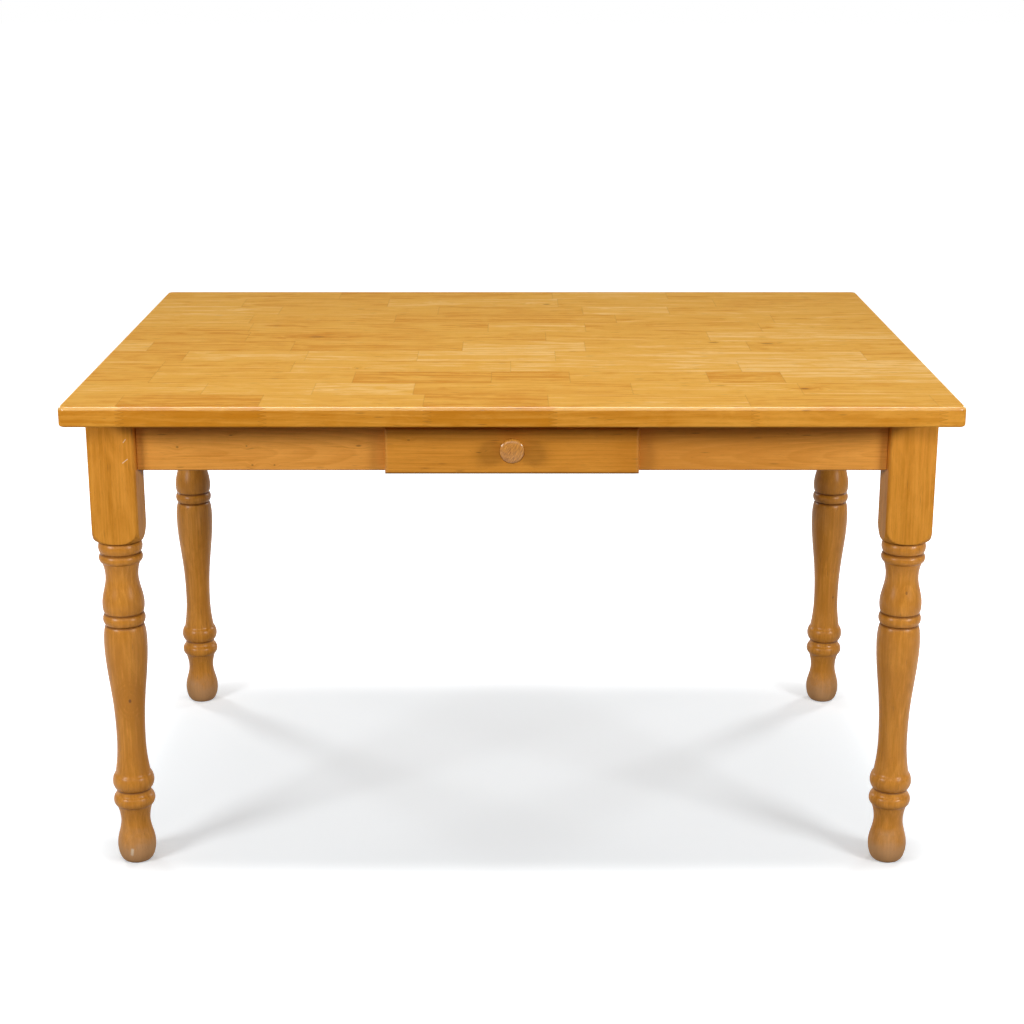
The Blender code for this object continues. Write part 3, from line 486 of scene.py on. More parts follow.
def top_finish(sizes, colours):
    """Lacquered staves: each has its own tone and grain, and meets the next in a finger joint."""
    wood = Wood("lacquered staves", "X", specular=0.01)
    x, y, z = wood.parts(wood.place)
    start, end = wood.parts(wood.attribute("stave_span"))[:2]
    tone_left, tone_own, tone_right = wood.parts(wood.attribute("stave_tone"))
    seed_left, seed_own, seed_right = wood.parts(wood.attribute("stave_seed"))
    saw = wood.math("PINGPONG", z, sizes.finger_pitch / 2) / (sizes.finger_pitch / 2)
    fingers = (saw - 0.5) * sizes.finger_length
    past_start = x - start - fingers
    past_end = x - end - fingers
    in_left = wood.math("LESS_THAN", past_start, 0.0)
    in_right = wood.math("GREATER_THAN", past_end, 0.0)
    tone = tone_own + in_left * (tone_left - tone_own) + in_right * (tone_right - tone_own)
    seed = seed_own + in_left * (seed_left - seed_own) + in_right * (seed_right - seed_own)
    second = wood.math("FRACT", seed * 7.31)
    third = wood.math("FRACT", seed * 23.17)

    row = (y - TOP_LOW.y) / STAVE_WIDTH
    side = (wood.math("FRACT", row) - 0.5) * STAVE_WIDTH
    row_line = abs(wood.math("FRACT", row + 0.5) - 0.5) * STAVE_WIDTH
    end_line = wood.math("MINIMUM", abs(past_start), abs(past_end))
    inside = wood.math("LESS_THAN", abs(y), TOP_HIGH.y - STAVE_WIDTH / 2)
    line = wood.darkest(inside * wood.ramp(row_line, 0.0009, 0.0002), wood.ramp(end_line, 0.0012, 0.0003))

    swell, heart = swirls(wood, x, y, TOP_KNOTS)
    slant = (second - 0.5) * 0.10
    moved = wood.vector(seed * 37.0, seed * 11.0 + x * slant + swell * 0.013, second * 13.0)
    wood.grain = wood.shifted(wood.grain, moved)
    pith = side + x * slant + (seed - 0.5) * 0.10
    dip = z - TOP_LOW.z + second * 0.05 + x * ((third - 0.5) * 0.12) + swell * 0.020
    rings = wood.rings(pith, dip, width=0.0085, wander=0.030)
    fibres = wood.fibres()
    clouds = wood.clouds()
    streaks = wood.fibres(0.36)
    # Painted light: the staves grow paler towards the right end of the top.
    value = (
        0.46 + tone + (clouds - 0.5) + (fibres - 0.5) * 0.5 + (streaks - 0.5) * 1.1
        + (wood.bands() - 0.5) * 0.4 - (rings - 0.4) * 0.25 - swell * 0.20 + wood.ramp(x, -0.2, 0.62) * 0.10
    )
    face = wood.blend(value, colours.top_dark, colours.top_middle, colours.top_pale)
    # Painted light: the edge grows paler towards the right end too.
    edge_value = value - tone * 0.25 + wood.ramp(x, 0.1, 0.6) * 0.25
    edge = wood.shade(edge_value, colours.edge_dark, colours.edge_pale)
    under = wood.ramp(z, TOP_HIGH.z - 0.0030, TOP_HIGH.z - 0.0060)
    base = wood.mix(under, face, edge)
    pores = wood.pores()
    flecks = wood.flecks(density=0.07)
    marks = wood.darkest(pores * 0.22, flecks * 0.42, line * (0.16 + under * 0.30), heart * 0.7)
    wood.feed(Base_Color=wood.mix(marks, base, colours.pore))
    wood.feed(Roughness=0.44 + fibres * 0.14 + pores * 0.12)
    rim = wood.ramp(z, TOP_HIGH.z - 0.0002, TOP_HIGH.z - 0.0010) * (1.0 - under)
    wood.feed(Coat_Weight=rim, Coat_Roughness=0.24, Coat_IOR=1.8)
    wood.bump(fibres * 0.5 - pores * 0.6 - line, distance=0.00012, strength=0.5)


def knot(wood, centre, size, heart_share):
    """Draw a knot on a leg's front: how much the grain swells round it, and its dark heart."""
    stretch = 1.5
    x, y, z = wood.parts(wood.place)
    facing = wood.ramp(abs(y - centre[1]), 0.040, 0.020)
    middle = (centre[0], centre[2])
    core = size * heart_share
    swell = swirl(wood, x, z, middle, (size, size * stretch))[0]
    heart = swirl(wood, x, z, middle, (core, core * stretch))[1]
    return swell * facing, heart * facing


def scratch(wood, start, end, half_width):
    """Draw a scratch across a face that looks along -Y, as a mask."""
    x, y, z = wood.parts(wood.place)
    run_x = end[0] - start[0]
    run_z = end[2] - start[2]
    length = math.hypot(run_x, run_z)
    along = (x - start[0]) * (run_x / length) + (z - start[2]) * (run_z / length)
    aside = (x - start[0]) * (-run_z / length) + (z - start[2]) * (run_x / length)
    inside = wood.ramp(abs(along - length / 2), length / 2, length / 2 - half_width)
    near = wood.ramp(abs(aside), half_width, half_width / 3)
    return inside * near * wood.ramp(y, start[1] + 0.004, start[1] + 0.001)


def groove_heights():
    """List the heights of the cut grooves: where a ring meets another ring, the urn, the vase or the post."""
    heights = []
    height = 0.0
    before = ""
    for kind, length in (turning[:2] for turning in LEG_TURNINGS):
        if (before, kind) in GROOVED_PAIRS:
            heights.append(height)
        height += length
        before = kind
    return heights + [height]


def post_start():
    """Give the height at which the turned part of a leg meets its post."""
    return sum(turning[1] for turning in LEG_TURNINGS)


def leg_finish(colours):
    """Lacquered turned wood: upright grain, a few knots, painted shade in the grooves and feet worn paler."""
    wood = Wood("lacquered turned wood", "Z", specular=0.0)
    x, y, z = wood.parts(wood.place)
    swell_vase, heart_vase = knot(wood, *VASE_KNOT)
    swell_urn, heart_urn = knot(wood, *URN_KNOT)
    swell_back, heart_back = knot(wood, *BACK_KNOT)
    swell = swell_vase + swell_urn * 0.6 + swell_back * 0.5
    arcs = wood.ramp(swell_vase, 0.0, 0.25) * (wood.math("SINE", swell_vase * 22.0) * 0.5 + 0.5)
    heart = wood.darkest(heart_vase, heart_urn * 0.7, heart_back * 0.6)
    across = abs(x) - LEG_X + wood.math("SIGN", y) * 0.021 + 0.052
    depth = abs(y) - LEG_Y + wood.math("SIGN", x) * 0.026 + swell * 0.014 + 0.03
    rings = wood.rings(across, depth, width=0.0075, wander=0.022)
    fibres = wood.fibres()
    turned = wood.ramp(z, post_start() + 0.002, post_start() - 0.002)
    value = (
        0.57 + (fibres - 0.5) * 1.1 + (wood.bands() - 0.5) * 0.5 + (wood.clouds() - 0.5) * 1.1
        - (rings - 0.4) * 0.20 - swell * 0.12 - arcs * 0.34 - wood.veins() * 0.16 - turned * 0.22
    )
    base = wood.shade(value, colours.leg_dark, colours.leg_pale)
    ragged = (wood.noise(wood.place, (45.0, 45.0, 45.0), detail=3.0) - 0.5) * 0.05
    worn = wood.ramp(z + ragged, 0.062, 0.018)
    base = wood.mix(worn * 0.7, base, colours.worn_foot)
    scrapes = sum(scratch(wood, *scrape) for scrape in SCRATCHES)
    base = wood.mix(scrapes * 0.8, base, colours.scrape)
    # Painted shade: a thin dark band in the base colour at each cut groove, where shade falls between the
    # turnings.
    groove_shade = sum(wood.ramp(abs(z - height), 0.0034, 0.0004) for height in groove_heights())
    pores = wood.pores()
    marks = wood.darkest(pores * 0.22, wood.flecks(density=0.05) * 0.30, heart * 0.85, groove_shade * 0.72)
    wood.feed(Base_Color=wood.mix(marks, base, colours.pore))
    wood.feed(Roughness=0.34 + fibres * 0.12 + worn * 0.26 + pores * 0.1)
    wood.feed(Coat_Weight=0.14 + turned * (0.34 - worn * 0.36), Coat_Roughness=0.30)
    wood.bump(fibres * 0.5 - pores * 0.6, distance=0.00015, strength=0.5)


def board_finish(name, axis, pale, dark, pore, pith, slope, low, half=FAR_AWAY):
    """Lacquered board: rings about a diving pith line, streaks, knots and painted shade along the low edge.
    """
    wood = Wood(name, axis, specular=0.06)
    x, y, z = wood.parts(wood.place)
    along, depth = wood.parts(wood.grain)[::2]
    swell, heart = swirls(wood, x, z, FRONT_KNOTS)
    facing = wood.math("LESS_THAN", y, -LEG_Y)
    bulge = swell * facing * 0.004
    wood.grain = wood.shifted(wood.grain, wood.vector(0.0, 0.0, bulge))
    rings = wood.rings((abs(along) - pith[0]) * slope, depth - pith[1] + bulge, width=0.0058, wander=0.026)
    fibres = wood.fibres()
    value = (
        0.60 + (fibres - 0.5) * 1.1 + (wood.bands() - 0.5) * 0.5 + (wood.clouds() - 0.5) * 0.5
        - (rings - 0.4) * 0.28 - wood.veins() * 0.35 - swell * facing * 0.10
        - wood.ramp(x, 0.10, 0.20) * wood.ramp(x, 0.56, 0.30) * 0.42
    )
    base = wood.shade(value, dark, pale)
    pores = wood.pores()
    # Painted shade: a dark band in the base colour along the board's low edge, where its rounding faces down.
    low_edge_shade = wood.ramp(z, low + 0.0042, low + 0.0024)
    flecks = wood.flecks(density=0.05)
    marks = wood.darkest(pores * 0.22, flecks * 0.40, heart * facing * 0.60, low_edge_shade * 0.70)
    wood.feed(Base_Color=wood.mix(marks, base, pore))
    wood.feed(Roughness=0.34 + fibres * 0.14 + pores * 0.1)
    wood.feed(Coat_Weight=wood.ramp(abs(x), half - 0.006, half - 0.004) * 0.3, Coat_Roughness=0.26)
    wood.bump(fibres * 0.5 - pores * 0.6, distance=0.00015, strength=0.5)


def apron_finish(axis, colours):
    """Lacquered apron wood along one axis."""
    name = "lacquered apron along " + axis
    pith = (LEG_X - 0.04, APRON_LOW.z + 0.025)
    low = APRON_LOW.z - 0.0020
    board_finish(name, axis, colours.apron_pale, colours.apron_dark, colours.pore, pith, 0.10, low)


def bare_finish(axis, colours):
    """Bare planed wood of the hidden frame along one axis."""
    wood = Wood("bare wood along " + axis, axis, specular=0.25)
    across, depth = wood.parts(wood.grain)[1:]
    rings = wood.rings(across - 0.05, depth - 0.5, width=0.006, wander=0.03)
    fibres = wood.fibres()
    value = 0.55 + (fibres - 0.5) * 1.3 - (rings - 0.4) * 0.6 + (wood.bands() - 0.5) * 0.8
    base = wood.shade(value, colours.bare_dark, colours.bare_pale)
    wood.feed(Base_Color=wood.mix(wood.flecks(density=0.04) * 0.4, base, colours.pore))
    wood.feed(Roughness=0.62 + fibres * 0.2)
    wood.bump(fibres, distance=0.0002, strength=0.5)


def panel_finish(colours):
    """Thin rotary-cut panel of the drawer's bottom, with broad wandering figure."""
    wood = Wood("thin panel", "X", specular=0.25)
    across, depth = wood.parts(wood.grain)[1:]
    rings = wood.rings(across * 0.2, depth, width=0.012, wander=0.05)
    fibres = wood.fibres()
    value = 0.55 + (fibres - 0.5) - (rings - 0.4) * 0.5 + (wood.clouds() - 0.5) * 0.5
    wood.feed(Base_Color=wood.shade(value, colours.bare_dark, colours.panel_pale))
    wood.feed(Roughness=0.6 + fibres * 0.2)
    wood.bump(fibres, distance=0.00015, strength=0.4)


def knob_finish(colours):
    """Paler turned wood of the knob, cut so that its pores run slantwise over the face, with painted light
    towards its top and painted shade at its rim.
    """
    wood = Finish("turned knob wood", specular=0.0)
    turn = {"Vector": wood.place, "Rotation": (0.0, math.radians(-28), 0.0)}
    grain = wood.node("ShaderNodeMapping", {"vector_type": "POINT"}, turn).outputs[0]
    streaks = wood.noise(grain, (620.0, 300.0, 130.0), detail=3.0, roughness=0.6)
    pores = wood.ramp(wood.noise(grain, (1500.0, 500.0, 260.0), detail=1.0), 0.54, 0.68)
    clouds = wood.noise(wood.place, (60.0, 60.0, 60.0), detail=2.0)
    x, z = wood.parts(wood.place)[::2]
    up = z - (KNOB_LOW.z + KNOB_HIGH.z) / 2
    reach = wood.math("SQRT", x * x + up * up) / (KNOB_HIGH.x - KNOB_LOW.x) * 2.0
    dashes = pores * wood.ramp(x, 0.012, -0.008)
    # Painted light and shade: the face grows paler towards the top of the knob and darker at its rim.
    rim_shade = wood.ramp(reach, 0.90, 1.0) * 0.35
    value = 0.60 + (streaks - 0.5) * 1.8 + (clouds - 0.5) * 0.6 + up * 12.0 - rim_shade
    base = wood.shade(value, colours.knob_dark, colours.knob_pale)
    wood.feed(Base_Color=wood.mix(dashes * 0.90 + pores * 0.25, base, colours.knob_dark))
    wood.feed(Roughness=0.32 + pores * 0.15)
    wood.feed(Coat_Weight=wood.ramp(reach, 0.94, 0.90) * 0.8, Coat_Roughness=0.20)
    wood.bump(streaks * 0.4 - pores * 0.5, distance=0.0001, strength=0.5)


def steel_finish(colours):
    """Bright zinc plate with faint spangle and wear."""
    metal = Finish("zinc plated steel")
    grains = metal.node("ShaderNodeTexVoronoi", None, {"Vector": metal.place, "Scale": 900.0})
    tone = metal.parts(grains.outputs["Color"])[0]
    dull = metal.noise(metal.place, (240.0, 240.0, 240.0), detail=3.0)
    dim = [part * 0.72 for part in colours.steel]
    metal.feed(Base_Color=metal.mix(tone * 0.6 + dull * 0.3, colours.steel, dim))
    metal.feed(Roughness=0.24 + dull * 0.22, Metallic=1.0)
    metal.bump(dull, distance=0.00005, strength=0.4)


def materials(context):
    """Make every finish once, and give them by name."""
    if "lacquered staves" in bpy.data.materials:
        return bpy.data.materials
    colours = context.scene.table_colours
    top_finish(context.scene.table_sizes, colours)
    leg_finish(colours)
    for axis in "XY":
        apron_finish(axis, colours)
        bare_finish(axis, colours)
    pith = (LEG_X, FRONT_LOW.z - 0.03)
    board_finish(
        "lacquered drawer front", "X", colours.front_pale, colours.front_dark, colours.pore, pith, 0.04,
        FRONT_LOW.z, FRONT_HIGH.x
    )
    panel_finish(colours)
    knob_finish(colours)
    steel_finish(colours)
    return bpy.data.materials


def add_piece(name, data):
    """Put a mesh, a lamp or a camera in the scene at the origin."""
    piece = bpy.data.objects.new(name, data)
    bpy.context.scene.collection.objects.link(piece)
    return piece


def baked(piece):
    """Turn an object with its modifiers into a plain mesh, and remove the object."""
    bpy.context.view_layer.update()
    evaluated = piece.evaluated_get(bpy.context.evaluated_depsgraph_get())
    mesh = bpy.data.meshes.new_from_object(evaluated)
    mesh.transform(piece.matrix_world)
    bpy.data.objects.remove(piece, do_unlink=True)
    return mesh


def place_piece(name, mesh, material, body, nodes, smooth_angle=35):
    """Finish a piece: smooth shading that leaves flat faces flat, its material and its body."""
    mesh.shade_smooth()
    mesh.set_sharp_from_angle(angle=math.radians(smooth_angle))
    shaded = add_piece(name + "_shading", mesh)
    normals = shaded.modifiers.new("flat faces", "WEIGHTED_NORMAL")
    normals.keep_sharp = True
    final = baked(shaded)
    final.name = name
    final.materials.clear()
    final.materials.append(material)
    piece = add_piece(name, final)
    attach(piece, body)
    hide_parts(*nodes)


def merged_copy(node):
    """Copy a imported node's loose triangles into one welded form with whole flat faces."""
    form = bmesh.new()
    form.from_mesh(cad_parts[node].data)
    bmesh.ops.remove_doubles(form, verts=form.verts, dist=0.00001)
    bmesh.ops.dissolve_limit(form, angle_limit=math.radians(1), verts=form.verts, edges=form.edges)
    return form


def round_edges(form, edges, radius, segments):
    """Round edges of a form."""
    bmesh.ops.bevel(
        form, geom=edges, offset=radius, segments=segments, profile=0.5, affect="EDGES", clamp_overlap=True
    )


def block(low, high):
    """Make a form that fills the box between two corners."""
    form = bmesh.new()
    size = Matrix.Diagonal((*(high - low), 1.0))
    bmesh.ops.create_cube(form, size=1.0, matrix=Matrix.Translation((low + high) / 2) @ size)
    return form


def to_mesh(name, form):
    """Turn a form into a mesh with its faces outwards."""
    bmesh.ops.recalc_face_normals(form, faces=form.faces)
    mesh = bpy.data.meshes.new(name)
    form.to_mesh(mesh)
    form.free()
    return mesh


def softened(node, radius):
    """Copy a packed board with every sharp edge rounded as planed and sanded wood is."""
    form = merged_copy(node)
    sharp_angle = math.radians(40)
    whole = [edge for edge in form.edges if len(edge.link_faces) == 2]
    sharp = [edge for edge in whole if edge.calc_face_angle() > sharp_angle]
    round_edges(form, sharp, radius, segments=3)
    return to_mesh(node, form)


def place_boards(context, boards, arris, finish, prefix, body):
    """Dress packed boards: each gets soft edges and a finish with the grain along its own axis."""
    for node, axis in boards.items():
        mesh = softened(node, arris)
        place_piece(prefix + node, mesh, materials(context)[finish + axis], body, [node])


def polar_mesh(name, rows, angles, radius_at, ring=False):
    """Skin a piece about Z: each row has a height, and radius_at gives its radius at each angle."""
    form = bmesh.new()
    loops = []
    for row in rows:
        loop = []
        for angle in angles:
            radius = radius_at(row, angle)
            loop.append(form.verts.new((radius * math.cos(angle), radius * math.sin(angle), row[0])))
        loops.append(loop)
    pairs = list(zip(loops, loops[1:]))
    if ring:
        pairs.append((loops[-1], loops[0]))
    for lower, upper in pairs:
        for index in range(len(angles)):
            following = (index + 1) % len(angles)
            form.faces.new((lower[index], lower[following], upper[following], upper[index]))
    if not ring:
        form.faces.new(loops[0][::-1])
        form.faces.new(loops[-1])
    return to_mesh(name, form)


def even_angles(sides):
    """List angles round a full turn."""
    return [2 * math.pi * index / sides for index in range(sides)]


def plain_radius(row, angle):
    """Give the radius of a row that is the same all round."""
    return row[1]


def along_diagonal(distance, height):
    """Place a piece that was made about Z on the inward diagonal of the front left leg."""
    lift = Matrix.Translation((0.0, 0.0, height))
    swing = Matrix.Rotation(math.pi / 4, 4, "Z")
    shift = Matrix.Translation((distance, 0.0, 0.0))
    tip = Matrix.Rotation(math.pi / 2, 4, "Y")
    return lift @ swing @ shift @ tip


def at_corner(side_x, side_y, turn):
    """Move a piece that was made about the front left leg's axis to its own corner."""
    return Matrix.Translation((side_x * LEG_X, side_y * LEG_Y, 0.0)) @ Matrix.Rotation(turn, 4, "Z")


def diagonal_end(node, radius):
    """Give how far a round piece at the front left corner reaches along the leg's inward diagonal."""
    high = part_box(node)[1]
    return (high.x + LEG_X) * math.sqrt(2) - radius


def turning_point(kind, way, first, radius, end):
    """Give the radius and the share of the length at a share of the way along one turning."""
    quarter = way * math.pi / 2
    if kind == "swell":
        return first + (radius - first) * math.sin(quarter), 1 - math.cos(quarter)
    if kind == "shoulder":
        return radius + (first - radius) * math.cos(quarter), math.sin(quarter)
    if kind == "ogee":
        return first + (radius - first) * (1 - math.cos(2 * quarter)) / 2, way
    if kind == "vase":
        return first + (radius - first) * (1 - math.cos(way ** VASE_LEAN * math.pi)) / 2, way
    if kind == "flare":
        return first + (radius - first) * way ** 2, way
    if kind == "settle":
        return radius + (first - radius) * (1 - way) ** 2, way
    groove = first + (end - first) * way
    return groove + (radius - groove) * max(0.0, math.sin(2 * quarter)) ** RING_FULLNESS, way


def leg_rows(sizes):
    """List the leg's rows from the floor up: height, turned radius, and whether the brace's flat is cut."""
    steps = 16
    rows = [(0.0, FOOT_PAD_RADIUS, False)]
    for kind, length, radius, *groove in LEG_TURNINGS:
        height, first = rows[-1][:2]
        end = groove[0] if groove else radius
        for step in range(1, steps + 1):
            point, rise = turning_point(kind, step / steps, first, radius, end)
            rows.append((height + length * rise, point, False))
    height, first = rows[-1][:2]
    corner = POST_HALF * math.sqrt(2) - sizes.post_arris * (math.sqrt(2) - 1)
    pommel_steps = 40
    for step in range(1, pommel_steps + 1):
        angle = POMMEL_SWEEP * step / pommel_steps
        point = first + (corner - first) * math.sin(angle) / math.sin(POMMEL_SWEEP)
        rise = sizes.pommel_rise * (1 - math.cos(angle)) / (1 - math.cos(POMMEL_SWEEP))
        rows.append((height + rise, point, False))
    clear = POST_HALF * 2
    run_out = 0.002
    rows.append((rows[-1][0] + run_out, clear, False))
    rows.append((APRON_LOW.z, clear, False))
    rows.append((APRON_LOW.z, clear, True))
    rows.append((LEG_HIGH.z, clear, True))
    return rows


def leg_angles():
    """List angles round a leg, closer together at the corners of its post."""
    quarter = [step * 4 for step in range(-9, 10)]
    corner = [37.5, 39.0, 40.5, 42.0, 43.5, 45.0]
    half = [-angle for angle in reversed(corner[:-1])] + quarter + corner
    return [math.radians(turn + angle) for turn in (0, 90, 180, 270) for angle in half]


def square_radius(angle, half, arris):
    """Give the radius of a square with rounded corners at an angle."""
    across = abs(math.cos(angle))
    up = abs(math.sin(angle))
    straight = half / max(across, up)
    inner = half - arris
    if straight * min(across, up) <= inner:
        return straight
    along = inner * (across + up)
    return along + math.sqrt(along ** 2 - 2 * inner ** 2 + arris ** 2)


def soft_least(first, second, softness):
    """Give the lesser of two lengths, with the corner between them rounded."""
    blend = min(1.0, max(0.0, 0.5 + 0.5 * (second - first) / softness))
    return second + (first - second) * blend - softness * blend * (1 - blend)


class TABLE_OT_top(bpy.types.Operator):
    """Make the top from its rows of finger-jointed staves"""

    bl_idname = "table.top"
    bl_label = "Top"

    def execute(self, context):
        sizes = context.scene.table_sizes
        form = block(TOP_LOW, TOP_HIGH)
        half = (TOP_HIGH.z - TOP_LOW.z) / 2
        upright = [edge for edge in form.edges if abs(edge.verts[0].co.z - edge.verts[1].co.z) > half]
        round_edges(form, upright, sizes.top_corner, segments=8)
        for direction, radius in ((1, sizes.top_upper_round), (-1, sizes.top_lower_round)):
            form.normal_update()
            rim = [
                edge for edge in form.edges
                if any(face.normal.z * direction > 0.99 for face in edge.link_faces)
            ]
            round_edges(form, rim, radius, segments=6)
        self.cut_staves(form)
        mesh = to_mesh("top", form)
        self.mark_staves(mesh)
        material = materials(context)["lacquered staves"]
        place_piece("top_of_staves", mesh, material, "table", ["table_top"])
        return {"FINISHED"}

    def cut_staves(self, form):
        """Cut the surface along the rows' glue lines, and each row along its end joints."""
        for row in range(1, len(STAVE_ROWS)):
            everything = form.verts[:] + form.edges[:] + form.faces[:]
            line = (0.0, TOP_LOW.y + row * STAVE_WIDTH, 0.0)
            bmesh.ops.bisect_plane(form, geom=everything, plane_co=line, plane_no=(0.0, 1.0, 0.0))
        for row, joints in enumerate(STAVE_ROWS):
            for joint in joints:
                faces = [face for face in form.faces if self.row_of(face.calc_center_median().y) == row]
                edges = dict.fromkeys(edge for face in faces for edge in face.edges)
                verts = dict.fromkeys(vert for face in faces for vert in face.verts)
                geom = [*verts, *edges, *faces]
                bmesh.ops.bisect_plane(form, geom=geom, plane_co=(joint, 0.0, 0.0), plane_no=(1.0, 0.0, 0.0))

    def row_of(self, y):
        """Give the row of staves that a place lies in."""
        return min(len(STAVE_ROWS) - 1, max(0, int((y - TOP_LOW.y) / STAVE_WIDTH)))

    def mark_staves(self, mesh):
        """Write each stave's ends, tone and seed on its faces, with its neighbours' beside its own."""
        chance = random.Random(STAVE_SEED)
        rows = []
        for row, joints in enumerate(STAVE_ROWS):
            staves = []
            for place in range(len(joints) + 1):
                drawn = chance.uniform(-STAVE_TONE_SPREAD, STAVE_TONE_SPREAD)
                staves.append((STAND_OUT_STAVES.get((row, place), drawn), chance.random()))
            rows.append(((-FAR_AWAY, *joints, FAR_AWAY), [staves[0], *staves, staves[-1]]))
        span = mesh.attributes.new("stave_span", "FLOAT_VECTOR", "FACE")
        tone = mesh.attributes.new("stave_tone", "FLOAT_VECTOR", "FACE")
        seed = mesh.attributes.new("stave_seed", "FLOAT_VECTOR", "FACE")
        for face in mesh.polygons:
            edges, staves = rows[self.row_of(face.center.y)]
            place = sum(1 for edge in edges[1:-1] if edge < face.center.x)
            span.data[face.index].vector = (edges[place], edges[place + 1], 0.0)
            tone.data[face.index].vector = [stave[0] for stave in staves[place:place + 3]]
            seed.data[face.index].vector = [stave[1] for stave in staves[place:place + 3]]


class TABLE_OT_legs(bpy.types.Operator):
    """Make the four turned legs with their square posts"""

    bl_idname = "table.legs"
    bl_label = "Legs"

    def execute(self, context):
        sizes = context.scene.table_sizes
        flat = POST_HALF * math.sqrt(2) - sizes.post_flat

        def radius_at(row, angle):
            turned, cut = row[1:]
            radius = soft_least(turned, square_radius(angle, POST_HALF, sizes.post_arris), sizes.pommel_edge)
            lean = math.cos(angle - math.pi / 4)
            if cut and lean > 0.5:
                radius = min(radius, flat / lean)
            return radius

        pattern = polar_mesh("leg", leg_rows(sizes), leg_angles(), radius_at)
        for corner, side_x, side_y, turn in CORNERS:
            mesh = pattern.copy()
            mesh.transform(at_corner(side_x, side_y, turn))
            material = materials(context)["lacquered turned wood"]
            place_piece("turned_leg_" + corner, mesh, material, "table", ["leg_" + corner])
        return {"FINISHED"}


class TABLE_OT_aprons(bpy.types.Operator):
    """Make the aprons and the rails round the drawer's window"""

    bl_idname = "table.aprons"
    bl_label = "Aprons"

    def execute(self, context):
        boards = {
            "apron_front_left": "X",
            "apron_front_right": "X",
            "apron_back": "X",
            "drawer_rail_upper": "X",
            "drawer_rail_lower": "X",
            "apron_left": "Y",
            "apron_right": "Y",
        }
        arris = context.scene.table_sizes.board_arris
        place_boards(context, boards, arris, "lacquered apron along ", "board_", "table")
        return {"FINISHED"}


class TABLE_OT_frame(bpy.types.Operator):
    """Make the corner braces, the buttons under the top, and the drawer's runners and kickers"""

    bl_idname = "table.frame"
    bl_label = "Inner Frame"

    def execute(self, context):
        grain = {"drawer_runner": "Y", "drawer_kicker": "Y", "top_button": "Y", "corner_brace": "X"}
        boards = {}
        for node in sorted(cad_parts):
            for start, axis in grain.items():
                if node.startswith(start):
                    boards[node] = axis
        arris = context.scene.table_sizes.frame_arris
        place_boards(context, boards, arris, "bare wood along ", "frame_", "table")
        return {"FINISHED"}


